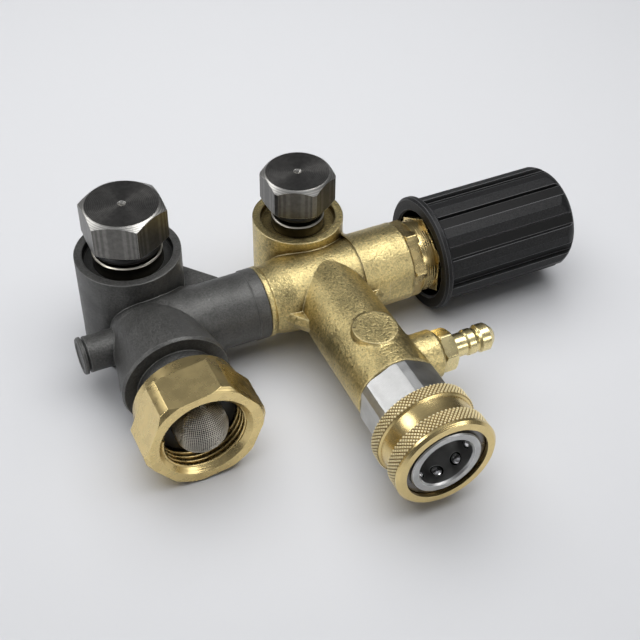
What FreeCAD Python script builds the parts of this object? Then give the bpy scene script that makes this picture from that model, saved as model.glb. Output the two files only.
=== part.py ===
import FreeCAD, Part
import math
import os

# Pressure washer unloader valve, in millimetres.
# The origin is the centre of the outlet eye on the face that seats on the pump.
# +Z points up out of the eyes, +X along the main bore to the knob, and -Y towards the hoses.

V = FreeCAD.Vector

# Layout
EYE_SPACING = 58.5
MAIN_Y = -18.3
MAIN_Z = 15.7
INJECTOR_Y = -62.3
MAIN = ("x", MAIN_Y, MAIN_Z)
OUTLET = ("y", 0.0, MAIN_Z)
INLET = ("y", -EYE_SPACING, MAIN_Z)
INJECTOR = ("x", INJECTOR_Y, MAIN_Z)
OUTLET_EYE = ("z", 0.0, 0.0)
INLET_EYE = ("z", -EYE_SPACING, 0.0)

# Clearances
RUNNING = 0.05
SLIDING = 0.10
SEAT_GAP = 0.05
LOOSE = 0.30
EDGE = 0.6
SMALL_EDGE = 0.4

# Brass body
JOINT_X = -22.3
BRASS_COLLAR_R = 11.8
BRASS_COLLAR_LENGTH = 1.7
BRASS_WAIST_R = 11.3
BRASS_BARREL_R = 12.6
BRASS_BARREL_X = -13.0
SEAM_X = 11.0
KNOB_BARREL_R = 13.3
KNOB_BARREL_END_X = 28.8
KNOB_BARREL_CHAMFER = 0.7
BRANCH_R = 12.2
BRANCH_END_R = 12.8
BRANCH_END_Y = -72.0
OUTLET_EYE_R = 15.05
OUTLET_EYE_TOP = 31.2
OUTLET_RECESS_R = 12.45
OUTLET_RECESS_DEPTH = 2.6
EYE_CHAMBER_FLOOR = 8.0
EYE_CHAMBER_DEPTH = 2.4
EYE_UPPER_LAND = 4.6
FEED_R = 5.0
PAD_Y = -56.5
PAD_R = 7.0
PAD_RISE = 0.5
BOSS_R = 7.8
BOSS_FACE_X = 19.0
BOSS_CHAMFER = 1.2
LEFT_WEB_X = 19.0
LEFT_WEB_Y = 38.3
RIGHT_WEB_X = 18.3
RIGHT_WEB_Y = 35.7
WEB_HALF = 2.6
WEB_ROOT = 8.0
CAST_FLAT = 12.7
CAST_FLAT_LENGTH = 9.0
CAST_FLAT_HEIGHT = 16.0
CAST_FLAT_DROP = 10.0
CAST_ROUND = 1.2
EYE_SEAM_DEG = 25.0
WEB_DRAFT = 1.3

# Spigot between the two castings
SPIGOT_R = 9.2
SPIGOT_LENGTH = 11.2
SPIGOT_CHAMFER = 0.8
CONNECTOR_CORD = 1.3
CONNECTOR_SET = 5.0

# Bypass seat and valve chamber
BYPASS_R = 4.0
SEAT_X = -12.0
SEAT_LENGTH = 6.0
SEAT_R = 7.0
SEAT_BORE_R = 3.2
SEAT_CORD = 0.9
CHAMBER_R = 7.2
BALL_R = 4.76

# Bonnet, piston and main spring
BONNET_R = 10.4
BONNET_INNER_X = 15.0
BONNET_FLATS = 22.8
BONNET_TURNED_R = 13.1
BONNET_HEX_LENGTH = 4.45
BONNET_HEX_DEG = 47.0
BONNET_NECK_R = 12.0
BONNET_NECK_LENGTH = 4.0
LOCK_FLATS = 24.6
LOCK_LENGTH = 1.7
LOCK_HEX_DEG = 28.0
BONNET_CORD = 0.9
GUIDE_R = 10.8
GUIDE_END_X = 57.0
SPRING_BORE_R = 9.0
SPRING_BORE_X = 34.0
PISTON_R = 6.0
PISTON_X = 16.2
PISTON_LENGTH = 11.6
PISTON_RING_SET = 7.2
PISTON_CORD = 1.1
GROOVE_WIDTH = 1.2
BACKUP_LENGTH = 1.3
STEM_R = 2.4
CUP_R = 6.0
CUP_DEPTH = 4.6
CUP_FLOOR = 1.5
TAIL_R = 3.0
TAIL_LENGTH = 1.5
PLATE_R = 8.7
PLATE_X = 38.5
PLATE_THICK = 2.5
PILOT_LENGTH = 1.2
SPRING_MEAN_R = 7.0
SPRING_WIRE_R = 1.2
SPRING_TURNS = 5
SPRING_LENGTH = 28.6
THRUST_BALL_R = 2.4

# Knob
KNOB_MOUTH_X = 36.7
KNOB_END_X = 90.5
KNOB_RIM_R = 19.65
KNOB_RIM_LENGTH = 3.0
KNOB_RIM_ROUND = 0.8
KNOB_RIB_R = 18.3
KNOB_SIDE_R = 17.9
KNOB_GROOVE_R = 16.4
KNOB_RIBS = 10
KNOB_GROOVE_PHASE = 33.0
GROOVE_FLOOR_DEG = 6.2
GROOVE_MOUTH_DEG = 7.4
KNOB_SHOULDER = 7.0
KNOB_MOUTH_R = 15.0
KNOB_MOUTH_DEPTH = 12.3
INSERT_R = 13.5
INSERT_LENGTH = 14.0
KNOB_BORE_R = 9.6

# Inlet body
INLET_EYE_R = 16.8
INLET_EYE_TOP = 36.1
INLET_RECESS_R = 14.25
INLET_RECESS_DEPTH = 3.0
TUBE_R = 11.4
SOCKET_COLLAR_R = 11.75
SOCKET_COLLAR_LENGTH = 4.3
HUB_R = 13.3
HUB_HALF = 4.5
TUBE_START = 18.5
BELL_Y = -40.0
BELL_R = 17.2
BELL_RIM = 1.0
NECK_R = 12.6
NECK_END_Y = -53.5
INLET_BORE_R = 8.8
STUB_R = 5.8
STUB_GROOVE_R = 5.0
STUB_LIP_R = 6.0
STUB_END_X = -82.1
STUB_LIP = 1.3
STUB_GROOVE = 0.8
STUB_DISH_R = 4.2
WEB_EYE_X = -42.7
WEB_EYE_Y = 4.5
WEB_TUBE_X = -32.2
WEB_TUBE_Y = -8.0
WEB_TOP = 22.0
WEB_BOTTOM = 9.4

# Inlet swivel nut, washer and filter
NUT_FRONT_Y = -65.6
NUT_REAR_Y = -47.8
NUT_HEX_Y = -52.4
NUT_FLATS = 34.2
NUT_TURNED_R = 18.9
NUT_REAR_R = 16.5
NUT_TURN_DEG = 8.0
NUT_CHAMFER = 1.2
NUT_MOUTH_R = 14.55
NUT_THREAD_R = 13.0
NUT_LIP = 3.2
NUT_CAVITY_R = 13.9
NUT_RING_R = 13.5
NUT_RING_THICK = 1.2
NUT_RING_FLOOR_R = 11.5
NUT_RING_SEAT = 1.1
WASHER_R = 12.8
WASHER_THICK = 3.0
FILTER_RIM_R = 12.3
FILTER_RIM = 0.7
FILTER_R = 8.2
FILTER_LENGTH = 7.5
FILTER_DOME = 3.5
FILTER_WALL = 0.5

# Banjo bolts, raised in their eyes
OUTLET_THREAD_R = 8.21
OUTLET_LAND_R = 8.75
OUTLET_WAIST_R = 5.8
OUTLET_NECK_R = 5.6
OUTLET_CORD = 1.5
OUTLET_DRILL_R = 4.2
OUTLET_TIP_Z = -2.0
OUTLET_HEAD_Z = 38.0
OUTLET_HEAD_TOP = 49.1
OUTLET_FLATS = 22.0
OUTLET_TURNED_R = 12.3
OUTLET_HEX_DEG = 32.0
OUTLET_LAND_TOP = 32.8
INLET_THREAD_R = 10.48
INLET_LAND_R = 11.1
INLET_WAIST_R = 8.2
INLET_NECK_R = 7.9
INLET_CORD = 1.5
INLET_DRILL_R = 6.0
INLET_TIP_Z = -0.5
INLET_HEAD_Z = 42.4
INLET_HEAD_TOP = 54.8
INLET_FLATS = 24.0
INLET_TURNED_R = 13.86
INLET_HEX_DEG = 30.0
INLET_LAND_TOP = 38.0
BOLT_THREAD = 12.0
BOLT_LOWER_LAND = 6.0
BOLT_HOLE_R = 2.5
BOLT_CHAMFER = 1.0
HEAD_TOP_CHAMFER = 1.6
HEAD_DIMPLE_R = 1.3
THREAD_RUNOUT = 1.5
LOWER_CORD_SHARE = 0.7

# Check valve and injector nozzle
CHECK_FEED_R = 5.0
CHECK_SEAT_Y = -38.5
CHECK_SEAT_LENGTH = 3.5
CHECK_SEAT_R = 7.0
CHECK_BORE_R = 4.0
CHECK_CHAMBER_R = 7.5
CHECK_SEAT_CORD = 0.8
POPPET_R = 5.6
POPPET_HEAD = 3.0
POPPET_STEM_R = 2.2
POPPET_STEM = 5.0
CHECK_SEAL_THICK = 1.2
CHECK_SPRING_R = 4.1
CHECK_WIRE_R = 0.5
CHECK_TURNS = 4
NOZZLE_Y = -53.4
NOZZLE_THROAT_R = 1.1
NOZZLE_MOUTH_R = 4.4
NOZZLE_CORD = 0.95
NOZZLE_RING_DEPTH = 1.6
SOCKET_THREAD_R = 8.4
SOCKET_THREAD_Y = -65.0

# Quick coupler
SOCKET_HEX_Y = -87.2
SOCKET_FLATS = 24.3
SOCKET_TURNED_R = 13.3
SOCKET_R = 11.4
SOCKET_FACE_Y = -102.8
SOCKET_BORE_R = 8.6
SOCKET_BORE_FLOOR = -84.5
SOCKET_PASSAGE_R = 4.5
SOCKET_FACE_CHAMFER = 0.6
PLUG_SEAL_Y = -90.5
PLUG_CORD = 0.9
LOCK_BALL_Y = -98.0
LOCK_BALL_R = 1.98
LOCK_BALLS = 8
LOCK_REST_R = 9.73
LOCK_SLOPE = 0.30
SLEEVE_REAR_Y = -86.15
SLEEVE_FRONT_Y = -103.1
SLEEVE_BAND_R = 16.2
SLEEVE_WAIST_R = 14.9
SLEEVE_REAR_BAND = 4.3
SLEEVE_FRONT_BAND = 6.5
SLEEVE_REAR_BORE_R = 13.65
SLEEVE_LAND_R = 11.5
SLEEVE_LAND_Y = -95.9
SLEEVE_RELIEF_R = 13.2
SLEEVE_RELIEF_Y = -100.5
SLEEVE_EDGE = 0.9
SNAP_R = 13.05
SNAP_FLOOR_R = 10.9
SNAP_THICK = 0.95
SLEEVE_SPRING_R = 12.5
SLEEVE_WIRE_R = 0.55
SLEEVE_TURNS = 3

# Hose barb
BARB_THREAD_R = 4.85
BARB_TAIL_X = 8.7
BARB_FLATS = 12.3
BARB_TURNED_R = 6.95
BARB_HEX_LENGTH = 4.6
BARB_HEX_DEG = 36.0
BARB_NECK_R = 3.75
BARB_RING_R = 4.5
BARB_STEP = 0.3
BARB_FIRST_X = 28.4
BARB_SECOND_X = 32.8
BARB_RING_LENGTH = 3.0
BARB_TIP_X = 38.6
BARB_TIP_R = 2.6
BARB_BORE_R = 1.5
BARB_SEAT_X = 19.0
BARB_CHAMBER_R = 2.7
BARB_BALL_R = 2.2
BARB_CORD = 0.8
BARB_SPRING_R = 1.9
BARB_WIRE_R = 0.3
BARB_TURNS = 4

DIRECTION = {"x": V(1, 0, 0), "y": V(0, 1, 0), "z": V(0, 0, 1)}


def at(line, station, radius=0.0, degrees=0.0):
    """A point beside a line: station along it, then out by a radius at an angle."""
    axis, a, b = line
    u = radius * math.cos(math.radians(degrees))
    v = radius * math.sin(math.radians(degrees))
    if axis == "x":
        return V(station, a + u, b + v)
    if axis == "y":
        return V(a + u, station, b + v)
    return V(a + u, b + v, station)


def turned(line, profile):
    """Revolves a closed profile of (station, radius) points. A third and fourth number
    make the edge to the point an arc through (station, radius) first."""
    points = [at(line, p[-2], p[-1]) for p in profile]
    edges = []
    for i, p in enumerate(profile):
        start = points[i - 1]
        end = points[i]
        if len(p) == 4:
            edges.append(Part.Arc(start, at(line, p[0], p[1]), end).toShape())
        elif start.distanceToPoint(end) > 1e-6:
            edges.append(Part.LineSegment(start, end).toShape())
    face = Part.Face(Part.Wire(edges))
    return face.revolve(at(line, 0), DIRECTION[line[0]], 360)


def rod(line, start, end, radius):
    return Part.makeCylinder(radius, abs(end - start), at(line, min(start, end)), DIRECTION[line[0]])


def tube(line, start, end, outer, inner):
    return rod(line, start, end, outer).cut(rod(line, start, end, inner))


def cord_ring(line, station, outer, cord):
    """An O-ring by its outer radius and its cord radius."""
    return Part.makeTorus(outer - cord, cord, at(line, station), DIRECTION[line[0]])


def groove(line, station, outer, cord, beyond=1.0):
    """The square groove that an O-ring lies in, cut from a shaft."""
    half = GROOVE_WIDTH * cord
    return tube(line, station - half, station + half, outer + beyond, outer - 2 * cord)


def hexagon(line, start, end, flats, turn=0.0):
    """A hexagonal prism with a corner at the given turn."""
    radius = flats / math.sqrt(3)
    corners = [at(line, start, radius, turn + 60 * i) for i in range(7)]
    face = Part.Face(Part.makePolygon(corners))
    return face.extrude(DIRECTION[line[0]] * (end - start))


def coil(line, start, end, mean, wire, turns):
    """A compression spring between two stations, wire surface to wire surface."""
    height = end - start - 2 * wire
    helix = Part.makeHelix(height / turns, height, mean)
    outer = V(mean + wire, 0, 0)
    inner = V(mean - wire, 0, 0)
    upper = Part.Arc(outer, V(mean, 0, wire), inner).toShape()
    lower = Part.Arc(inner, V(mean, 0, -wire), outer).toShape()
    section = Part.Wire([upper, lower])
    spring = Part.Wire(helix.Edges).makePipeShell([section], True, True)
    turn = FreeCAD.Rotation(V(0, 0, 1), DIRECTION[line[0]])
    spring.Placement = FreeCAD.Placement(at(line, start + wire), turn)
    return spring


def fused(first, *others):
    return first.fuse(list(others)).removeSplitter()


def cut(shape, *tools):
    return shape.cut(list(tools))


def rounded(shape, radius, *places):
    """Rounds the edges of a casting that pass nearest to the given places."""
    edges = []
    for place in places:
        mark = Part.Vertex(place)
        edges.append(min(shape.Edges, key=lambda edge: edge.distToShape(mark)[0]))
    return shape.makeFillet(radius, edges)


def web(corners, bottom, top):
    """A flat cast web: an outline in plan, from one height to another."""
    points = [V(x, y, bottom) for x, y in corners]
    face = Part.Face(Part.makePolygon(points + [points[0]]))
    return face.extrude(V(0, 0, top - bottom))


def drafted_web(corners, middle, half):
    """A corner web that is widest at mid-height. The last corner lies inside the casting."""
    layers = []
    for height, share in ((-half, 1), (0, 0), (half, 1)):
        pull = WEB_DRAFT * share
        inner = V(*corners[-1], middle + height)
        points = []
        for x, y in corners[:-1]:
            outer = V(x, y, middle + height)
            points.append(outer + (inner - outer).normalize() * pull)
        points.append(inner)
        layers.append(Part.makePolygon(points + [points[0]]))
    return Part.makeLoft(layers, True, True)


def eye_cuts(line, top, bore, recess_r, recess_depth):
    """The bolt hole of an eye, its recess for the bolt head and the ring of space round the bolt."""
    floor = top - recess_depth
    ceiling = floor - EYE_UPPER_LAND
    chamber_r = bore + EYE_CHAMBER_DEPTH
    return [
        rod(line, -1, top + 1, bore),
        turned(line, [(floor, 0), (floor, recess_r - SMALL_EDGE), (floor + SMALL_EDGE, recess_r),
                      (top + 1, recess_r), (top + 1, 0)]),
        turned(line, [(EYE_CHAMBER_FLOOR, 0), (EYE_CHAMBER_FLOOR, bore), (EYE_CHAMBER_FLOOR + 2, chamber_r),
                      (ceiling - 2, chamber_r), (ceiling, bore), (ceiling, 0)]),
    ]


def brass_outside():
    """The brass casting before its bores: main barrel, knob barrel, eye, outlet branch and bosses."""
    nose = KNOB_BARREL_END_X - KNOB_BARREL_CHAMFER
    collar_end = JOINT_X + BRASS_COLLAR_LENGTH
    main = turned(MAIN, [
        (JOINT_X, 0), (JOINT_X, BRASS_COLLAR_R - SMALL_EDGE), (JOINT_X + SMALL_EDGE, BRASS_COLLAR_R),
        (collar_end, BRASS_COLLAR_R), (collar_end + EDGE, BRASS_WAIST_R), (BRASS_BARREL_X, BRASS_BARREL_R),
        (SEAM_X, BRASS_BARREL_R), (SEAM_X, KNOB_BARREL_R), (nose, KNOB_BARREL_R),
        (KNOB_BARREL_END_X, KNOB_BARREL_R - KNOB_BARREL_CHAMFER), (KNOB_BARREL_END_X, 0)])
    branch = turned(OUTLET, [
        (MAIN_Y, 0), (MAIN_Y, BRANCH_R), (BRANCH_END_Y + SMALL_EDGE, BRANCH_END_R),
        (BRANCH_END_Y, BRANCH_END_R - SMALL_EDGE), (BRANCH_END_Y, 0)])
    eye = rod(OUTLET_EYE, 0, OUTLET_EYE_TOP, OUTLET_EYE_R)
    boss = turned(INJECTOR, [
        (0, 0), (0, BOSS_R), (BOSS_FACE_X - BOSS_CHAMFER, BOSS_R), (BOSS_FACE_X, BOSS_R - BOSS_CHAMFER),
        (BOSS_FACE_X, 0)])
    left = drafted_web([(-LEFT_WEB_X, MAIN_Y - BRASS_WAIST_R + 1), (1 - BRANCH_R, -LEFT_WEB_Y),
                        (-WEB_ROOT, MAIN_Y)], MAIN_Z, WEB_HALF)
    right = drafted_web([(RIGHT_WEB_X, MAIN_Y - KNOB_BARREL_R + 1), (BRANCH_R - 1, -RIGHT_WEB_Y),
                         (WEB_ROOT, MAIN_Y)], MAIN_Z, WEB_HALF)
    pad = rod(("z", 0.0, PAD_Y), MAIN_Z, MAIN_Z + BRANCH_END_R + PAD_RISE, PAD_R)
    body = fused(main, branch, eye, boss, left, right, pad)
    flat = Part.makeBox(CAST_FLAT_LENGTH, CAST_FLAT, CAST_FLAT_HEIGHT,
                        V(nose - CAST_FLAT_LENGTH, MAIN_Y - 2 * CAST_FLAT, MAIN_Z - CAST_FLAT_DROP))
    boss_foot = math.sqrt(BRANCH_END_R ** 2 - BOSS_R ** 2)
    pad_foot = math.sqrt(BRANCH_END_R ** 2 - PAD_R ** 2)
    body = rounded(body.cut(flat), CAST_ROUND, V(boss_foot, INJECTOR_Y, MAIN_Z + BOSS_R),
                   V(boss_foot, INJECTOR_Y, MAIN_Z - BOSS_R))
    body = rounded(body, CAST_ROUND, V(-PAD_R, PAD_Y, MAIN_Z + pad_foot))
    return rounded(body, CAST_ROUND, at(OUTLET_EYE, MAIN_Z + BOSS_R, OUTLET_EYE_R, -EYE_SEAM_DEG),
                   at(OUTLET_EYE, MAIN_Z - BOSS_R, OUTLET_EYE_R, -EYE_SEAM_DEG))


def valve_body():
    spigot = turned(MAIN, [
        (JOINT_X - SPIGOT_LENGTH, 0), (JOINT_X - SPIGOT_LENGTH, SPIGOT_R - SPIGOT_CHAMFER),
        (JOINT_X - SPIGOT_LENGTH + SPIGOT_CHAMFER, SPIGOT_R), (JOINT_X, SPIGOT_R), (JOINT_X, 0)])
    body = fused(brass_outside(), spigot)
    tools = eye_cuts(OUTLET_EYE, OUTLET_EYE_TOP, OUTLET_LAND_R + SLIDING, OUTLET_RECESS_R,
                     OUTLET_RECESS_DEPTH)
    tools += [
        groove(MAIN, JOINT_X - CONNECTOR_SET, SPIGOT_R, CONNECTOR_CORD),
        rod(MAIN, JOINT_X - SPIGOT_LENGTH - 1, SEAT_X, BYPASS_R),
        rod(MAIN, SEAT_X - SEAT_LENGTH, SEAT_X, SEAT_R),
        rod(MAIN, SEAT_X, BONNET_INNER_X, CHAMBER_R),
        rod(MAIN, BONNET_INNER_X, KNOB_BARREL_END_X + 1, BONNET_R),
        rod(OUTLET, MAIN_Y + 2, MAIN_Y / 3, FEED_R),
        rod(OUTLET, MAIN_Y, CHECK_SEAT_Y, CHECK_FEED_R),
        rod(OUTLET, CHECK_SEAT_Y + CHECK_SEAT_LENGTH, CHECK_SEAT_Y, CHECK_SEAT_R),
        rod(OUTLET, CHECK_SEAT_Y, SOCKET_THREAD_Y, CHECK_CHAMBER_R),
        rod(OUTLET, SOCKET_THREAD_Y, BRANCH_END_Y - 1, SOCKET_THREAD_R),
        rod(INJECTOR, 0, BARB_TAIL_X, BARB_BORE_R),
        rod(INJECTOR, BARB_TAIL_X, BOSS_FACE_X + 1, BARB_THREAD_R),
    ]
    return cut(body, *tools)


def connector_oring():
    return cord_ring(MAIN, JOINT_X - CONNECTOR_SET, SPIGOT_R, CONNECTOR_CORD)


def bypass_seat():
    start = SEAT_X - SEAT_LENGTH
    middle = SEAT_X - SEAT_LENGTH / 2
    ring = turned(MAIN, [
        (start, BYPASS_R), (start, SEAT_R), (SEAT_X, SEAT_R), (SEAT_X, SEAT_BORE_R),
        (middle, SEAT_BORE_R), (middle - EDGE, BYPASS_R)])
    return ring.cut(groove(MAIN, SEAT_X - SEAT_LENGTH / 2, SEAT_R, SEAT_CORD))


def bypass_seat_oring():
    return cord_ring(MAIN, SEAT_X - SEAT_LENGTH / 2, SEAT_R, SEAT_CORD)


def ball_center_x():
    """The ball rests on the edge of the seat's bore."""
    reach = BALL_R + SEAT_GAP
    return SEAT_X + math.sqrt(reach ** 2 - SEAT_BORE_R ** 2)


def valve_ball():
    return Part.makeSphere(BALL_R, at(MAIN, ball_center_x()))


def piston_oring_x():
    return PISTON_X + PISTON_RING_SET


def piston_backup_x():
    return piston_oring_x() + PISTON_CORD * GROOVE_WIDTH


def piston_stem():
    shoulder = ball_center_x() + BALL_R
    piston_end = PISTON_X + PISTON_LENGTH
    cup_x = shoulder - CUP_DEPTH
    tail_x = PLATE_X + PLATE_THICK + TAIL_LENGTH
    stem = turned(MAIN, [
        (cup_x, BALL_R + RUNNING), (cup_x, CUP_R - SMALL_EDGE), (cup_x + SMALL_EDGE, CUP_R),
        (shoulder + CUP_FLOOR, CUP_R), (shoulder + CUP_FLOOR + STEM_R, STEM_R), (PISTON_X, STEM_R),
        (PISTON_X, PISTON_R - SMALL_EDGE), (PISTON_X + SMALL_EDGE, PISTON_R), (piston_end, PISTON_R),
        (piston_end, TAIL_R), (tail_x, TAIL_R), (tail_x, 0), (shoulder, 0), (shoulder, BALL_R + RUNNING)])
    ring_groove = tube(MAIN, piston_oring_x() - PISTON_CORD * GROOVE_WIDTH, piston_backup_x() + BACKUP_LENGTH,
                       PISTON_R + 1, PISTON_R - 2 * PISTON_CORD)
    return stem.cut(ring_groove)


def piston_oring():
    return cord_ring(MAIN, piston_oring_x(), PISTON_R, PISTON_CORD)


def piston_backup():
    start = piston_backup_x()
    return tube(MAIN, start, start + BACKUP_LENGTH, PISTON_R, PISTON_R - 2 * PISTON_CORD)


def bonnet():
    """The guide that closes the barrel and carries the knob's thread: hexagon, neck and thin lock flange."""
    hex_start = KNOB_BARREL_END_X + SEAT_GAP
    hex_end = hex_start + BONNET_HEX_LENGTH
    flange_x = hex_end + BONNET_NECK_LENGTH
    flange_end = flange_x + LOCK_LENGTH
    edge = BONNET_TURNED_R - EDGE
    head = hexagon(MAIN, hex_start, hex_end, BONNET_FLATS, BONNET_HEX_DEG)
    head = head.common(turned(MAIN, [
        (hex_start, 0), (hex_start, edge), (hex_start + EDGE, BONNET_TURNED_R),
        (hex_end - EDGE, BONNET_TURNED_R), (hex_end, edge), (hex_end, 0)]))
    flange = hexagon(MAIN, flange_x, flange_end, LOCK_FLATS, LOCK_HEX_DEG)
    shank = turned(MAIN, [
        (BONNET_INNER_X, 0), (BONNET_INNER_X, BONNET_R - EDGE), (BONNET_INNER_X + EDGE, BONNET_R),
        (hex_end - EDGE, BONNET_R), (hex_end - EDGE, BONNET_NECK_R), (flange_x + EDGE, BONNET_NECK_R),
        (flange_x + EDGE, GUIDE_R), (GUIDE_END_X - EDGE, GUIDE_R), (GUIDE_END_X, GUIDE_R - EDGE),
        (GUIDE_END_X, 0)])
    return cut(fused(head, flange, shank),
               rod(MAIN, BONNET_INNER_X - 1, SPRING_BORE_X, PISTON_R + RUNNING),
               rod(MAIN, SPRING_BORE_X, GUIDE_END_X + 1, SPRING_BORE_R),
               groove(MAIN, bonnet_oring_x(), BONNET_R, BONNET_CORD))


def bonnet_oring_x():
    return KNOB_BARREL_END_X - BONNET_CORD * 2


def bonnet_oring():
    return cord_ring(MAIN, bonnet_oring_x(), BONNET_R, BONNET_CORD)


def lower_spring_plate():
    end = PLATE_X + PLATE_THICK
    pilot_r = SPRING_MEAN_R - SPRING_WIRE_R - SMALL_EDGE
    return turned(MAIN, [
        (PLATE_X, TAIL_R), (PLATE_X, PLATE_R - SMALL_EDGE), (PLATE_X + SMALL_EDGE, PLATE_R), (end, PLATE_R),
        (end, pilot_r), (end + PILOT_LENGTH, pilot_r - SMALL_EDGE), (end + PILOT_LENGTH, TAIL_R)])


def spring_end_x():
    return PLATE_X + PLATE_THICK + SEAT_GAP + SPRING_LENGTH


def main_spring():
    start = PLATE_X + PLATE_THICK + SEAT_GAP
    return coil(MAIN, start, spring_end_x(), SPRING_MEAN_R, SPRING_WIRE_R, SPRING_TURNS)


def upper_spring_plate():
    start = spring_end_x() + SEAT_GAP
    end = start + PLATE_THICK
    pilot_r = SPRING_MEAN_R - SPRING_WIRE_R - SMALL_EDGE
    return turned(MAIN, [
        (start - PILOT_LENGTH, 0), (start - PILOT_LENGTH, pilot_r - SMALL_EDGE), (start, pilot_r),
        (start, PLATE_R), (end, PLATE_R), (end, 0)])


def thrust_ball_x():
    return spring_end_x() + SEAT_GAP + PLATE_THICK + THRUST_BALL_R


def thrust_ball():
    return Part.makeSphere(THRUST_BALL_R, at(MAIN, thrust_ball_x()))


def knob_star():
    """The ribbed section of the knob: flat-floored grooves between ribs with a ridge in the middle."""
    pitch = 360.0 / KNOB_RIBS
    corners = []
    for i in range(KNOB_RIBS):
        middle = KNOB_GROOVE_PHASE + pitch * i
        corners.append((KNOB_GROOVE_R, middle - GROOVE_FLOOR_DEG))
        corners.append((KNOB_GROOVE_R, middle + GROOVE_FLOOR_DEG))
        corners.append((KNOB_SIDE_R, middle + GROOVE_MOUTH_DEG))
        corners.append((KNOB_RIB_R, middle + pitch / 2))
        corners.append((KNOB_SIDE_R, middle + pitch - GROOVE_MOUTH_DEG))
    start = KNOB_MOUTH_X + KNOB_RIM_LENGTH / 2
    points = [at(MAIN, start, radius, 180.0 - angle) for radius, angle in corners]
    face = Part.Face(Part.makePolygon(points + [points[0]]))
    return face.extrude(V(KNOB_END_X - start, 0, 0))


def knob():
    shoulder_x = KNOB_END_X - KNOB_SHOULDER
    shoulder_r = KNOB_RIB_R - KNOB_SHOULDER
    lean = KNOB_SHOULDER * math.sqrt(0.5)
    envelope = turned(MAIN, [
        (KNOB_MOUTH_X, 0), (KNOB_MOUTH_X, KNOB_RIB_R), (shoulder_x, KNOB_RIB_R),
        (shoulder_x + lean, shoulder_r + lean, KNOB_END_X, shoulder_r), (KNOB_END_X, 0)])
    ribs = knob_star().common(envelope)
    rim_end = KNOB_MOUTH_X + KNOB_RIM_LENGTH
    rim = turned(MAIN, [
        (KNOB_MOUTH_X, 0), (KNOB_MOUTH_X, KNOB_RIM_R - KNOB_RIM_ROUND),
        (KNOB_MOUTH_X + KNOB_RIM_ROUND, KNOB_RIM_R), (rim_end - KNOB_RIM_ROUND, KNOB_RIM_R),
        (rim_end, KNOB_RIM_R - KNOB_RIM_ROUND), (rim_end, 0)])
    insert_x = KNOB_MOUTH_X + KNOB_MOUTH_DEPTH
    insert_end = insert_x + INSERT_LENGTH
    floor_x = thrust_ball_x() + THRUST_BALL_R + SEAT_GAP
    cavity = turned(MAIN, [
        (KNOB_MOUTH_X - 1, 0), (KNOB_MOUTH_X - 1, KNOB_MOUTH_R + EDGE), (KNOB_MOUTH_X, KNOB_MOUTH_R + EDGE),
        (KNOB_MOUTH_X + EDGE, KNOB_MOUTH_R), (insert_x, KNOB_MOUTH_R), (insert_x, INSERT_R),
        (insert_end, INSERT_R), (insert_end, KNOB_BORE_R), (floor_x, KNOB_BORE_R), (floor_x, 0)])
    return fused(ribs, rim).cut(cavity)


def knob_insert():
    start = KNOB_MOUTH_X + KNOB_MOUTH_DEPTH
    return tube(MAIN, start, start + INSERT_LENGTH, INSERT_R, GUIDE_R + RUNNING)


def inlet_outside():
    """The grey casting before its bores: eye, hub, tube with its socket collar, bell, neck, stub and web."""
    hub_x = -EYE_SPACING
    eye = rod(INLET_EYE, 0, INLET_EYE_TOP, INLET_EYE_R)
    collar_x = JOINT_X - SOCKET_COLLAR_LENGTH
    tube_x = hub_x + TUBE_START
    middle_x = hub_x + (HUB_HALF + TUBE_START) / 2
    middle_r = (HUB_R + TUBE_R) / 2 - SMALL_EDGE / 2
    collar_end = JOINT_X - SEAT_GAP
    tube_part = turned(MAIN, [
        (hub_x, 0), (hub_x, HUB_R), (hub_x + HUB_HALF, HUB_R), (middle_x, middle_r, tube_x, TUBE_R),
        (collar_x, TUBE_R), (collar_x + SMALL_EDGE, SOCKET_COLLAR_R), (collar_end, SOCKET_COLLAR_R),
        (collar_end, 0)])
    hub = Part.makeSphere(HUB_R, at(MAIN, hub_x))
    bell_end = BELL_Y - BELL_RIM
    bell = turned(INLET, [
        (MAIN_Y, 0), (MAIN_Y, HUB_R), (BELL_Y, BELL_R), (bell_end, BELL_R - SMALL_EDGE), (bell_end, NECK_R),
        (NECK_END_Y + EDGE, NECK_R), (NECK_END_Y, NECK_R - EDGE), (NECK_END_Y, 0)])
    lip_x = STUB_END_X + STUB_LIP
    groove_x = lip_x + STUB_GROOVE
    stub = turned(MAIN, [
        (hub_x, 0), (hub_x, STUB_R), (groove_x, STUB_R), (groove_x, STUB_GROOVE_R), (lip_x, STUB_GROOVE_R),
        (lip_x, STUB_LIP_R), (STUB_END_X + SMALL_EDGE, STUB_LIP_R), (STUB_END_X, STUB_LIP_R - SMALL_EDGE),
        (STUB_END_X, STUB_DISH_R + SMALL_EDGE), (STUB_END_X + SMALL_EDGE, STUB_DISH_R),
        (STUB_END_X + SMALL_EDGE, 0)])
    inner_x = hub_x + HUB_HALF
    inner_y = MAIN_Y + HUB_HALF
    gusset = web([(WEB_EYE_X, WEB_EYE_Y), (WEB_TUBE_X, WEB_TUBE_Y), (WEB_TUBE_X, inner_y), (inner_x, inner_y),
                  (inner_x, WEB_EYE_Y)], WEB_BOTTOM, WEB_TOP)
    return fused(eye, tube_part, hub, bell, stub, gusset)


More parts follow.
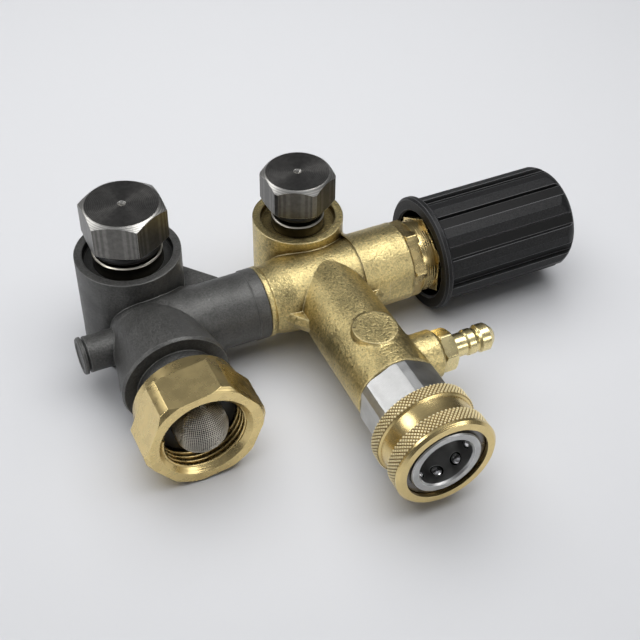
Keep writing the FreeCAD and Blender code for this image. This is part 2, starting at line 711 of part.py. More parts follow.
def inlet_body():
    hub_x = -EYE_SPACING
    socket_floor = JOINT_X - SPIGOT_LENGTH - LOOSE
    tools = eye_cuts(INLET_EYE, INLET_EYE_TOP, INLET_LAND_R + SLIDING, INLET_RECESS_R,
                     INLET_RECESS_DEPTH)
    tools += [
        rod(MAIN, hub_x, socket_floor, SPIGOT_R - 1.5),
        rod(MAIN, socket_floor, JOINT_X + 1, SPIGOT_R + RUNNING),
        rod(INLET, MAIN_Y, NECK_END_Y - 1, INLET_BORE_R),
        tube(INLET, nut_ring_y() - NUT_RING_THICK, nut_ring_y() + NUT_RING_THICK, NECK_R + 1,
             NUT_RING_FLOOR_R),
    ]
    return cut(inlet_outside(), *tools)


def nut_ring_y():
    return NUT_REAR_Y - NUT_LIP - NUT_RING_SEAT


def inlet_nut_ring():
    """The snap ring that keeps the swivel nut on its neck."""
    half = NUT_RING_THICK / 2
    return tube(INLET, nut_ring_y() - half, nut_ring_y() + half, NUT_RING_R, NUT_RING_FLOOR_R)


def inlet_nut():
    body = hexagon(INLET, NUT_FRONT_Y, NUT_HEX_Y, NUT_FLATS, NUT_TURN_DEG)
    body = body.common(turned(INLET, [
        (NUT_FRONT_Y, 0), (NUT_FRONT_Y, NUT_TURNED_R - NUT_CHAMFER),
        (NUT_FRONT_Y + NUT_CHAMFER, NUT_TURNED_R),
        (NUT_HEX_Y, NUT_TURNED_R), (NUT_HEX_Y, 0)]))
    cone = turned(INLET, [
        (NUT_HEX_Y - 1, 0), (NUT_HEX_Y - 1, NUT_FLATS / 2), (NUT_HEX_Y, NUT_FLATS / 2),
        (NUT_REAR_Y, NUT_REAR_R), (NUT_REAR_Y, 0)])
    lip_y = NUT_REAR_Y - NUT_LIP
    cavity_y = NECK_END_Y - WASHER_THICK
    return cut(fused(body, cone), turned(INLET, [
        (NUT_REAR_Y + 1, 0), (NUT_REAR_Y + 1, NECK_R + SLIDING), (lip_y, NECK_R + SLIDING),
        (lip_y, NUT_CAVITY_R), (cavity_y + 1, NUT_CAVITY_R), (cavity_y, NUT_THREAD_R),
        (NUT_FRONT_Y + NUT_MOUTH_R - NUT_THREAD_R, NUT_THREAD_R), (NUT_FRONT_Y, NUT_MOUTH_R),
        (NUT_FRONT_Y - 1, NUT_MOUTH_R), (NUT_FRONT_Y - 1, 0)]))


def hose_washer():
    return tube(INLET, NECK_END_Y - SEAT_GAP, NECK_END_Y - WASHER_THICK, WASHER_R, INLET_BORE_R)


def filter_rim():
    start = NECK_END_Y - WASHER_THICK
    return tube(INLET, start, start - FILTER_RIM, FILTER_RIM_R, FILTER_R)


def filter_screen():
    """The mesh thimble: a thin tube with a domed end."""
    start = NECK_END_Y - WASHER_THICK
    dome_y = start - FILTER_LENGTH
    apex_y = dome_y - FILTER_DOME
    dome_r = (FILTER_R ** 2 + FILTER_DOME ** 2) / (2 * FILTER_DOME)
    cap = Part.makeSphere(dome_r, at(INLET, apex_y + dome_r))
    inner_cap = Part.makeSphere(dome_r - FILTER_WALL, at(INLET, apex_y + dome_r))
    outer = rod(INLET, start, apex_y, FILTER_R).common(fused(cap, rod(INLET, start, dome_y, FILTER_R)))
    inner = rod(INLET, start, apex_y, FILTER_R - FILTER_WALL)
    inner = inner.common(fused(inner_cap, rod(INLET, start, dome_y, FILTER_R)))
    return outer.cut(inner)


def banjo_bolt(line, tip, head, top, land_top, thread_r, land_r, waist_r, neck_r, drill_r, cord, flats,
               turned_r, turn):
    """A hollow bolt: drilled thread, two sealing lands with a cross-drilled waist between, and a head."""
    thread_end = tip + BOLT_THREAD
    land_start = thread_end + THREAD_RUNOUT
    lower_top = land_start + BOLT_LOWER_LAND
    upper_bottom = land_top - BOLT_LOWER_LAND
    shank = turned(line, [
        (tip, 0), (tip, thread_r - BOLT_CHAMFER), (tip + BOLT_CHAMFER, thread_r), (thread_end, thread_r),
        (thread_end + EDGE, thread_r - BOLT_CHAMFER), (land_start, land_r - SMALL_EDGE),
        (land_start + SMALL_EDGE, land_r), (lower_top, land_r), (lower_top + BOLT_CHAMFER, waist_r),
        (upper_bottom - BOLT_CHAMFER, waist_r), (upper_bottom, land_r), (land_top - SMALL_EDGE, land_r),
        (land_top, land_r - SMALL_EDGE), (land_top, neck_r), (head, neck_r), (head, 0)])
    hexagon_head = hexagon(line, head, top, flats, turn)
    hexagon_head = hexagon_head.common(turned(line, [
        (head, 0), (head, flats / 2 - EDGE), (head + BOLT_CHAMFER, turned_r),
        (top - HEAD_TOP_CHAMFER, turned_r), (top, flats / 2 - EDGE), (top, 0)]))
    dimple = turned(line, [(top - HEAD_DIMPLE_R, 0), (top, HEAD_DIMPLE_R), (top, 0)])
    middle = (lower_top + upper_bottom) / 2
    holes = [rod(("x", line[2], middle), line[1] - land_r, line[1] + land_r, BOLT_HOLE_R),
             rod(("y", line[1], middle), line[2] - land_r, line[2] + land_r, BOLT_HOLE_R)]
    return cut(fused(shank, hexagon_head), rod(line, tip - 1, middle + BOLT_HOLE_R, drill_r), dimple, *holes,
               groove(line, lower_ring(tip), land_r, cord * LOWER_CORD_SHARE))


def lower_ring(tip):
    return tip + BOLT_THREAD + THREAD_RUNOUT + SMALL_EDGE + BOLT_LOWER_LAND / 2


def upper_ring(land_top, head):
    return (land_top + head) / 2


def outlet_bolt():
    return banjo_bolt(OUTLET_EYE, OUTLET_TIP_Z, OUTLET_HEAD_Z, OUTLET_HEAD_TOP, OUTLET_LAND_TOP,
                      OUTLET_THREAD_R, OUTLET_LAND_R, OUTLET_WAIST_R, OUTLET_NECK_R, OUTLET_DRILL_R,
                      OUTLET_CORD, OUTLET_FLATS, OUTLET_TURNED_R, OUTLET_HEX_DEG)


def inlet_bolt():
    return banjo_bolt(INLET_EYE, INLET_TIP_Z, INLET_HEAD_Z, INLET_HEAD_TOP, INLET_LAND_TOP,
                      INLET_THREAD_R, INLET_LAND_R, INLET_WAIST_R, INLET_NECK_R, INLET_DRILL_R,
                      INLET_CORD, INLET_FLATS, INLET_TURNED_R, INLET_HEX_DEG)


def outlet_bolt_upper_oring():
    return cord_ring(OUTLET_EYE, upper_ring(OUTLET_LAND_TOP, OUTLET_HEAD_Z), OUTLET_LAND_R, OUTLET_CORD)


def outlet_bolt_lower_oring():
    return cord_ring(OUTLET_EYE, lower_ring(OUTLET_TIP_Z), OUTLET_LAND_R, OUTLET_CORD * LOWER_CORD_SHARE)


def inlet_bolt_upper_oring():
    return cord_ring(INLET_EYE, upper_ring(INLET_LAND_TOP, INLET_HEAD_Z), INLET_LAND_R, INLET_CORD)


def inlet_bolt_lower_oring():
    return cord_ring(INLET_EYE, lower_ring(INLET_TIP_Z), INLET_LAND_R, INLET_CORD * LOWER_CORD_SHARE)


def check_seat():
    start = CHECK_SEAT_Y + CHECK_SEAT_LENGTH
    return cut(tube(OUTLET, start, CHECK_SEAT_Y, CHECK_SEAT_R, CHECK_BORE_R),
               groove(OUTLET, CHECK_SEAT_Y + CHECK_SEAT_LENGTH / 2, CHECK_SEAT_R, CHECK_SEAT_CORD))


def check_seat_oring():
    return cord_ring(OUTLET, CHECK_SEAT_Y + CHECK_SEAT_LENGTH / 2, CHECK_SEAT_R, CHECK_SEAT_CORD)


def check_face_y():
    return CHECK_SEAT_Y - SEAT_GAP


def check_poppet():
    face = check_face_y()
    back = face - POPPET_HEAD
    ring_r = CHECK_BORE_R - EDGE
    stem_end = back - POPPET_STEM
    return turned(OUTLET, [
        (face, 0), (face, ring_r), (face - CHECK_SEAL_THICK, ring_r), (face - CHECK_SEAL_THICK, POPPET_R),
        (back, POPPET_R), (back, POPPET_STEM_R + EDGE), (back - EDGE, POPPET_STEM_R),
        (stem_end + SMALL_EDGE, POPPET_STEM_R), (stem_end, POPPET_STEM_R - SMALL_EDGE), (stem_end, 0)])


def check_seal():
    face = check_face_y()
    return tube(OUTLET, face, face - CHECK_SEAL_THICK, POPPET_R, CHECK_BORE_R - EDGE)


def check_spring():
    back = check_face_y() - POPPET_HEAD - SEAT_GAP
    return coil(OUTLET, NOZZLE_Y + SEAT_GAP, back, CHECK_SPRING_R, CHECK_WIRE_R, CHECK_TURNS)


def injector_nozzle():
    """The venturi insert whose ring groove feeds the hose barb's liquid into the stream."""
    end = SOCKET_THREAD_Y
    body_r = CHECK_CHAMBER_R - RUNNING
    ring_r = body_r - NOZZLE_RING_DEPTH
    ring_start = INJECTOR_Y + NOZZLE_RING_DEPTH
    ring_end = INJECTOR_Y - NOZZLE_RING_DEPTH
    entry_r = CHECK_SPRING_R - CHECK_WIRE_R - SMALL_EDGE
    body = turned(OUTLET, [
        (NOZZLE_Y, entry_r), (NOZZLE_Y, body_r), (ring_start, body_r), (ring_start, ring_r), (ring_end, ring_r),
        (ring_end, body_r), (end, body_r), (end, NOZZLE_MOUTH_R), (INJECTOR_Y + 1, NOZZLE_THROAT_R),
        (INJECTOR_Y + 1 + NOZZLE_THROAT_R, NOZZLE_THROAT_R)])
    return cut(body, groove(OUTLET, nozzle_oring_y(), body_r, NOZZLE_CORD),
               rod(("x", INJECTOR_Y, MAIN_Z), 0, body_r, BARB_BORE_R / 2))


def nozzle_oring_y():
    return NOZZLE_Y - NOZZLE_CORD * 2.5


def nozzle_oring():
    return cord_ring(OUTLET, nozzle_oring_y(), CHECK_CHAMBER_R - RUNNING, NOZZLE_CORD)


def coupler_socket():
    tail_y = SOCKET_THREAD_Y - SEAT_GAP
    shoulder = BRANCH_END_Y - SEAT_GAP
    hexed = hexagon(OUTLET, SOCKET_HEX_Y, shoulder, SOCKET_FLATS, 90.0)
    hexed = hexed.common(turned(OUTLET, [
        (SOCKET_HEX_Y, 0), (SOCKET_HEX_Y, SOCKET_TURNED_R - EDGE), (SOCKET_HEX_Y + EDGE, SOCKET_TURNED_R),
        (shoulder - EDGE, SOCKET_TURNED_R), (shoulder, SOCKET_TURNED_R - EDGE), (shoulder, 0)]))
    nose = turned(OUTLET, [
        (SOCKET_HEX_Y, 0), (SOCKET_HEX_Y, SOCKET_R), (SOCKET_FACE_Y + SMALL_EDGE, SOCKET_R),
        (SOCKET_FACE_Y, SOCKET_R - SMALL_EDGE), (SOCKET_FACE_Y, 0)])
    tail = turned(OUTLET, [
        (tail_y, 0), (tail_y, SOCKET_THREAD_R - EDGE), (tail_y - EDGE, SOCKET_THREAD_R),
        (shoulder, SOCKET_THREAD_R), (shoulder, 0)])
    mouth_r = SOCKET_BORE_R + SOCKET_FACE_CHAMFER
    bore = turned(OUTLET, [
        (SOCKET_FACE_Y - 1, 0), (SOCKET_FACE_Y - 1, mouth_r), (SOCKET_FACE_Y, mouth_r),
        (SOCKET_FACE_Y + SOCKET_FACE_CHAMFER, SOCKET_BORE_R), (SOCKET_BORE_FLOOR, SOCKET_BORE_R),
        (SOCKET_BORE_FLOOR + 2, SOCKET_PASSAGE_R), (tail_y + 1, SOCKET_PASSAGE_R), (tail_y + 1, 0)])
    seal_half = PLUG_CORD * GROOVE_WIDTH
    seal_groove = rod(OUTLET, PLUG_SEAL_Y - seal_half, PLUG_SEAL_Y + seal_half, plug_seal_r())
    snap_y = snap_ring_y()
    snap_groove = tube(OUTLET, snap_y - SNAP_THICK, snap_y, SOCKET_R + 1, SNAP_FLOOR_R)
    holes = [ball_hole(i) for i in range(LOCK_BALLS)]
    return cut(fused(hexed, nose, tail), bore, seal_groove, snap_groove, *holes)


def plug_seal_r():
    return SOCKET_BORE_R + RUNNING + 2 * PLUG_CORD


def plug_seal():
    return cord_ring(OUTLET, PLUG_SEAL_Y, plug_seal_r(), PLUG_CORD)


def ball_direction(i):
    angle = math.radians(360.0 * i / LOCK_BALLS)
    return V(math.cos(angle), 0, math.sin(angle))


def ball_hole(i):
    return Part.makeCylinder(LOCK_BALL_R + RUNNING, SOCKET_R, at(OUTLET, LOCK_BALL_Y), ball_direction(i))


def lock_ball(i):
    return Part.makeSphere(LOCK_BALL_R, at(OUTLET, LOCK_BALL_Y) + ball_direction(i) * LOCK_REST_R)


def snap_ring_y():
    return SLEEVE_RELIEF_Y - SEAT_GAP


def sleeve_ring():
    start = snap_ring_y()
    return tube(OUTLET, start, start - SNAP_THICK, SNAP_R, SNAP_FLOOR_R)


def locking_cone(y):
    """The sleeve's inner radius over the balls. It opens to the front, so drawing it back frees them."""
    lean = math.cos(math.atan(LOCK_SLOPE))
    over_ball = LOCK_REST_R + (LOCK_BALL_R + RUNNING) / lean
    return over_ball + LOCK_SLOPE * (LOCK_BALL_Y - y)


def cone_start_y():
    return LOCK_BALL_Y + (locking_cone(LOCK_BALL_Y) - SLEEVE_LAND_R) / LOCK_SLOPE


def coupler_sleeve():
    rear_band_end = SLEEVE_REAR_Y - SLEEVE_REAR_BAND
    front_band_start = SLEEVE_FRONT_Y + SLEEVE_FRONT_BAND
    waist_y = (rear_band_end + front_band_start) / 2
    waist_edge = SLEEVE_WAIST_R + SMALL_EDGE / 2
    return turned(OUTLET, [
        (SLEEVE_REAR_Y, SLEEVE_REAR_BORE_R), (SLEEVE_REAR_Y, SLEEVE_BAND_R - SLEEVE_EDGE),
        (SLEEVE_REAR_Y - SLEEVE_EDGE, SLEEVE_BAND_R), (rear_band_end, SLEEVE_BAND_R),
        (rear_band_end - SMALL_EDGE, waist_edge),
        (waist_y, SLEEVE_WAIST_R, front_band_start + SMALL_EDGE, waist_edge),
        (front_band_start, SLEEVE_BAND_R), (SLEEVE_FRONT_Y + SLEEVE_EDGE, SLEEVE_BAND_R),
        (SLEEVE_FRONT_Y, SLEEVE_BAND_R - SLEEVE_EDGE), (SLEEVE_FRONT_Y, SLEEVE_RELIEF_R),
        (SLEEVE_RELIEF_Y, SLEEVE_RELIEF_R), (SLEEVE_RELIEF_Y, locking_cone(SLEEVE_RELIEF_Y)),
        (cone_start_y(), SLEEVE_LAND_R), (SLEEVE_LAND_Y, SLEEVE_LAND_R), (SLEEVE_LAND_Y, SLEEVE_REAR_BORE_R)])


def sleeve_spring():
    start = SLEEVE_LAND_Y + SEAT_GAP
    return coil(OUTLET, start, SOCKET_HEX_Y - SEAT_GAP, SLEEVE_SPRING_R, SLEEVE_WIRE_R, SLEEVE_TURNS)


def barb_fitting():
    hex_x = BOSS_FACE_X + SEAT_GAP
    hex_end = hex_x + BARB_HEX_LENGTH
    head = hexagon(INJECTOR, hex_x, hex_end, BARB_FLATS, BARB_HEX_DEG)
    head = head.common(turned(INJECTOR, [
        (hex_x, 0), (hex_x, BARB_TURNED_R - EDGE), (hex_x + EDGE, BARB_TURNED_R),
        (hex_end - EDGE, BARB_TURNED_R), (hex_end, BARB_TURNED_R - EDGE), (hex_end, 0)]))
    lead = BARB_RING_R - BARB_NECK_R
    first_r = BARB_RING_R - BARB_STEP
    second_end = BARB_SECOND_X + lead + BARB_RING_LENGTH
    stem = turned(INJECTOR, [
        (BARB_TAIL_X, 0), (BARB_TAIL_X, BARB_THREAD_R), (hex_end, BARB_THREAD_R), (hex_end, BARB_NECK_R),
        (BARB_FIRST_X, BARB_NECK_R), (BARB_FIRST_X + lead, first_r),
        (BARB_FIRST_X + BARB_RING_LENGTH, first_r),
        (BARB_SECOND_X, BARB_NECK_R), (BARB_SECOND_X + lead, BARB_RING_R), (second_end, BARB_RING_R),
        (BARB_TIP_X - EDGE, BARB_TIP_R + EDGE), (BARB_TIP_X, BARB_TIP_R), (BARB_TIP_X, 0)])
    cone = BARB_CHAMBER_R - BARB_BORE_R
    inside = turned(INJECTOR, [
        (BARB_TAIL_X - 1, 0), (BARB_TAIL_X - 1, BARB_CHAMBER_R), (BARB_SEAT_X - cone, BARB_CHAMBER_R),
        (BARB_SEAT_X, BARB_BORE_R), (BARB_TIP_X + 1, BARB_BORE_R), (BARB_TIP_X + 1, 0)])
    return cut(fused(head, stem), inside, groove(INJECTOR, barb_oring_x(), BARB_THREAD_R, BARB_CORD))


def barb_oring_x():
    return BOSS_FACE_X - BARB_CORD * 2


def barb_oring():
    return cord_ring(INJECTOR, barb_oring_x(), BARB_THREAD_R, BARB_CORD)


def injector_ball_x():
    """The ball rests on the 45 degree cone between the fitting's chamber and its bore."""
    return BARB_SEAT_X + BARB_BORE_R - (BARB_BALL_R + SEAT_GAP) * math.sqrt(2)


def injector_ball():
    return Part.makeSphere(BARB_BALL_R, at(INJECTOR, injector_ball_x()))


def injector_spring():
    end = injector_ball_x() - BARB_BALL_R - SEAT_GAP
    return coil(INJECTOR, BARB_TAIL_X + SEAT_GAP, end, BARB_SPRING_R, BARB_WIRE_R, BARB_TURNS)


PIECES = [
    valve_body, connector_oring, bypass_seat, bypass_seat_oring, valve_ball,
    piston_stem, piston_oring, piston_backup, bonnet, bonnet_oring,
    lower_spring_plate, main_spring, upper_spring_plate, thrust_ball, knob, knob_insert,
    inlet_body, inlet_nut_ring, inlet_nut, hose_washer, filter_rim, filter_screen,
    outlet_bolt, outlet_bolt_upper_oring, outlet_bolt_lower_oring,
    inlet_bolt, inlet_bolt_upper_oring, inlet_bolt_lower_oring,
    check_seat, check_seat_oring, check_poppet, check_seal, check_spring, injector_nozzle, nozzle_oring,
    coupler_socket, plug_seal, sleeve_ring, coupler_sleeve, sleeve_spring,
    barb_fitting, barb_oring, injector_ball, injector_spring,
]

os.makedirs("parts", exist_ok=True)
for piece in PIECES:
    piece().exportStep(f"parts/{piece.__name__}.step")
for number in range(LOCK_BALLS):
    lock_ball(number).exportStep(f"parts/lock_ball_{number + 1}.step")
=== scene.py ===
import math

import bmesh
import bpy
from mathutils import Matrix, Vector


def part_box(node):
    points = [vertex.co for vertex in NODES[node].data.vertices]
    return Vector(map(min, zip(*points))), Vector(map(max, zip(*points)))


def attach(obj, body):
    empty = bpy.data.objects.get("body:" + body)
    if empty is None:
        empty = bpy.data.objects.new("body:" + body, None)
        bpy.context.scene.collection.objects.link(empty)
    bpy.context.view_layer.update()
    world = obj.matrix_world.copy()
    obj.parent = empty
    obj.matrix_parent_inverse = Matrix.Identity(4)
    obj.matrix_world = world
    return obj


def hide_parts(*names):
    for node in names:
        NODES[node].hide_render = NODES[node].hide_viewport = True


# A pressure washer unloader valve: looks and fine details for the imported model, in metres.

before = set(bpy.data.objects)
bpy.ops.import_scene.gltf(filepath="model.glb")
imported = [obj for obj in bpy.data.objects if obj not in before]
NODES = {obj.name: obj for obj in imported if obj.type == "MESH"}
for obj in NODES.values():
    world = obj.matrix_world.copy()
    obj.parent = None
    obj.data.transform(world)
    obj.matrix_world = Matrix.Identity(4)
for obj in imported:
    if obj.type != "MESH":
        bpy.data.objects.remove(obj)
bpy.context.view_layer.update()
MM = 0.001

# Places read from the model
KNOB_LOW, KNOB_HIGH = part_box("knob")
NUT_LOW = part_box("inlet_nut")[0]
SLEEVE_LOW, SLEEVE_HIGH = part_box("coupler_sleeve")
SCREEN_LOW, SCREEN_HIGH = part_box("filter_screen")
BARB_LOW, BARB_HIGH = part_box("barb_fitting")
MAIN_AXIS = Vector((0, (KNOB_LOW.y + KNOB_HIGH.y) / 2, (KNOB_LOW.z + KNOB_HIGH.z) / 2))
OUTLET_AXIS = Vector(((SLEEVE_LOW.x + SLEEVE_HIGH.x) / 2, 0, MAIN_AXIS.z))
INLET_AXIS = Vector(((SCREEN_LOW.x + SCREEN_HIGH.x) / 2, 0, MAIN_AXIS.z))
BARB_AXIS = Vector((0, (BARB_LOW.y + BARB_HIGH.y) / 2, (BARB_LOW.z + BARB_HIGH.z) / 2))
INLET_BOLT_AXIS = Vector((INLET_AXIS.x, 0, 0))

# Directions that turn a part's own axis onto the pattern's Z
ALONG_X = (0, math.radians(90), 0)
ALONG_Y = (math.radians(90), 0, 0)


# Materials

def new_material(name, base, metallic, roughness):
    """A principled material whose plain numbers stand on the shader itself."""
    material = bpy.data.materials.new(name)
    material.use_nodes = True
    shader = material.node_tree.nodes["Principled BSDF"]
    shader.inputs["Base Color"].default_value = (*base, 1)
    shader.inputs["Metallic"].default_value = metallic
    shader.inputs["Roughness"].default_value = roughness
    return material, material.node_tree, shader


def object_point(tree, center=(0, 0, 0), turn=(0, 0, 0), stretch=(1, 1, 1)):
    """The place on the object, centred and turned so that a pattern follows a part's own axis."""
    coordinates = tree.nodes.new("ShaderNodeTexCoord")
    mapping = tree.nodes.new("ShaderNodeMapping")
    mapping.vector_type = "TEXTURE"
    mapping.inputs["Location"].default_value = center
    mapping.inputs["Rotation"].default_value = turn
    mapping.inputs["Scale"].default_value = stretch
    tree.links.new(coordinates.outputs["Object"], mapping.inputs["Vector"])
    return mapping.outputs["Vector"]


def noise(tree, point, size, detail=3.0, roughness=0.5):
    """Noise whose blotches are about the given size."""
    node = tree.nodes.new("ShaderNodeTexNoise")
    node.inputs["Scale"].default_value = 1 / size
    node.inputs["Detail"].default_value = detail
    node.inputs["Roughness"].default_value = roughness
    tree.links.new(point, node.inputs["Vector"])
    return node.outputs["Fac"]


def ramp(tree, value, *stops):
    """Colours along a value: stops are (position, colour)."""
    node = tree.nodes.new("ShaderNodeValToRGB")
    elements = node.color_ramp.elements
    while len(elements) < len(stops):
        elements.new(0.5)
    for element, (position, color) in zip(elements, stops):
        element.position = position
        element.color = (*color, 1)
    tree.links.new(value, node.inputs["Fac"])
    return node.outputs["Color"]


def spread(tree, value, low, high, from_low=0.3, from_high=0.7):
    """A value moved from one range to another and kept inside it."""
    node = tree.nodes.new("ShaderNodeMapRange")
    numbers = {"From Min": from_low, "From Max": from_high, "To Min": low, "To Max": high}
    for name, number in numbers.items():
        node.inputs[name].default_value = number
    tree.links.new(value, node.inputs["Value"])
    return node.outputs["Result"]


def feed(tree, value, socket):
    """Sets a socket from a number or links it from another socket."""
    if hasattr(value, "is_output"):
        tree.links.new(value, socket)
    else:
        socket.default_value = value


def calculate(tree, operation, *values):
    """One step of arithmetic on numbers or sockets."""
    node = tree.nodes.new("ShaderNodeMath")
    node.operation = operation
    for value, socket in zip(values, node.inputs):
        feed(tree, value, socket)
    return node.outputs[0]


def blended(tree, share, first, second, kind="MIX"):
    """Two colours mixed, or multiplied, by a share."""
    node = tree.nodes.new("ShaderNodeMix")
    node.data_type = "RGBA"
    node.blend_type = kind
    feed(tree, share, node.inputs["Factor"])
    for value, label in ((first, "A"), (second, "B")):
        sockets = [s for s in node.inputs if s.name == label and s.type == "RGBA"]
        feed(tree, value, sockets[0])
    return [s for s in node.outputs if s.type == "RGBA"][0]


def edge_wear_and_highlight(tree, radius):
    """One on sharp edges and nothing on open faces: the mask for edge wear and for painted highlight on
    edges.
    """
    rounded = tree.nodes.new("ShaderNodeBevel")
    rounded.samples = 8
    rounded.inputs["Radius"].default_value = radius
    plain = tree.nodes.new("ShaderNodeNewGeometry")
    dot = tree.nodes.new("ShaderNodeVectorMath")
    dot.operation = "DOT_PRODUCT"
    tree.links.new(rounded.outputs["Normal"], dot.inputs[0])
    tree.links.new(plain.outputs["Normal"], dot.inputs[1])
    return spread(tree, dot.outputs["Value"], 1, 0, 0.90, 0.995)


def corner_shade_mask(tree, distance):
    """Painted shade: low in corners and recesses, one on open faces."""
    node = tree.nodes.new("ShaderNodeAmbientOcclusion")
    node.samples = 8
    node.inputs["Distance"].default_value = distance
    return node.outputs["AO"]


def bump(tree, shader, *layers, edge=0.0):
    """Bump layers of (height, depth in metres) over an optional rounding of the edges."""
    normal = None
    if edge:
        rounded = tree.nodes.new("ShaderNodeBevel")
        rounded.samples = 6
        rounded.inputs["Radius"].default_value = edge
        normal = rounded.outputs["Normal"]
    for height, depth in layers:
        node = tree.nodes.new("ShaderNodeBump")
        node.inputs["Strength"].default_value = 1
        node.inputs["Distance"].default_value = depth
        tree.links.new(height, node.inputs["Height"])
        if normal:
            tree.links.new(normal, node.inputs["Normal"])
        normal = node.outputs["Normal"]
    tree.links.new(normal, shader.inputs["Normal"])


def axis_distance(tree, point):
    """How far a place lies from the pattern's Z axis."""
    parts = tree.nodes.new("ShaderNodeSeparateXYZ")
    tree.links.new(point, parts.inputs[0])
    squares = [calculate(tree, "POWER", parts.outputs[k], 2.0) for k in (0, 1)]
    return calculate(tree, "SQRT", calculate(tree, "ADD", *squares))


def own(tree, output, axis):
    """One part of the place, or of the normal, in the object's own directions."""
    coordinates = tree.nodes.new("ShaderNodeTexCoord")
    parts = tree.nodes.new("ShaderNodeSeparateXYZ")
    tree.links.new(coordinates.outputs[output], parts.inputs[0])
    return parts.outputs[axis]


def tinted(tree, color, value, *stops):
    """A colour multiplied by a ramp of a value."""
    return blended(tree, 1.0, color, ramp(tree, value, *stops), "MULTIPLY")


def grey(level):
    """A colour with equal red, green and blue."""
    return (level, level, level)


def scaled(color, factor):
    """A colour made darker or lighter, and never past white."""
    return tuple(min(c * factor, 1) for c in color)


def casting(name, base, edge, shadow, metallic, rough, grain_size, grain_depth):
    """A sand-cast skin: blotched tone, gritty grain, painted shade in the corners, and edges lightened for
    wear and painted highlight.
    """
    material, tree, shader = new_material(name, base, metallic, rough)
    point = object_point(tree)
    patches = noise(tree, point, 9 * MM, 4, 0.6)
    grain = noise(tree, point, grain_size * MM, 2, 0.65)
    fine = noise(tree, point, grain_size * 0.45 * MM, 2, 0.6)
    color = ramp(tree, patches, (0.34, scaled(base, 0.80)), (0.66, scaled(base, 1.15)))
    color = tinted(tree, color, grain, (0.34, grey(0.74)), (0.5, grey(0.97)), (0.66, grey(1.22)))
    color = tinted(tree, color, fine, (0.38, grey(0.88)), (0.62, grey(1.10)))
    # Painted shade in corners and recesses.
    color = tinted(tree, color, corner_shade_mask(tree, 4.5 * MM), (0.3, shadow), (0.85, grey(1)))
    # Edges lightened: wear and painted highlight.
    color = blended(tree, calculate(tree, "MULTIPLY", edge_wear_and_highlight(tree, 0.5 * MM), 0.6), color, (*edge, 1))
    tree.links.new(color, shader.inputs["Base Color"])
    tree.links.new(spread(tree, grain, rough - 0.10, rough + 0.12), shader.inputs["Roughness"])
    layers = ((patches, 0.3 * MM), (grain, grain_depth * MM), (fine, grain_depth * 0.5 * MM))
    bump(tree, shader, *layers, edge=0.7 * MM)
    return material


def tool_marks(tree, point, kind, pitch, distortion, detail):
    """Fine lathe marks of a given pitch, as bands or as rings."""
    marks = tree.nodes.new("ShaderNodeTexWave")
    marks.wave_type = kind
    marks.bands_direction = "Z"
    marks.rings_direction = "Z"
    marks.inputs["Scale"].default_value = math.pi / (10 * pitch)
    marks.inputs["Distortion"].default_value = distortion
    marks.inputs["Detail"].default_value = detail
    tree.links.new(point, marks.inputs["Vector"])
    return marks.outputs["Fac"]


def rings_along(tree, point, pitch):
    """Marks in bands along the part's axis."""
    return tool_marks(tree, point, "BANDS", pitch, 1.0, 2)


def rings_across(tree, point, pitch):
    """Facing marks: circles round the part's axis on its end faces."""
    return tool_marks(tree, point, "RINGS", pitch, 0.4, 1)


def turned_metal(name, base, roughness, center, turn, mark=0.22, depth=0.005, edge=0.2, shade=0.86,
                 bright=1.25, corner=(0.32, 0.25, 0.15)):
    """A lathe-turned finish: marks round the axis and on the faces, painted shade in the corners, and bright
    edges for wear and painted highlight.
    """
    material, tree, shader = new_material(name, base, 1.0, roughness)
    point = object_point(tree, center, turn)
    along = rings_along(tree, point, mark * MM)
    across = rings_across(tree, point, mark * 1.6 * MM)
    tone = noise(tree, point, 5 * MM, 3, 0.6)
    color = ramp(tree, tone, (0.35, scaled(base, shade)), (0.65, base))
    # Painted shade in corners and recesses.
    color = tinted(tree, color, corner_shade_mask(tree, 3 * MM), (0.25, corner), (0.8, grey(1)))
    # Edges lightened: wear and painted highlight.
    worn_and_lit = edge_wear_and_highlight(tree, max(edge, 0.1) * 1.2 * MM)
    color = blended(tree, worn_and_lit, color, (*scaled(base, bright), 1))
    tree.links.new(color, shader.inputs["Base Color"])
    tree.links.new(spread(tree, tone, roughness * 0.85, roughness * 1.2), shader.inputs["Roughness"])
    bump(tree, shader, (along, depth * MM), (across, depth * MM), edge=edge * MM)
    return material


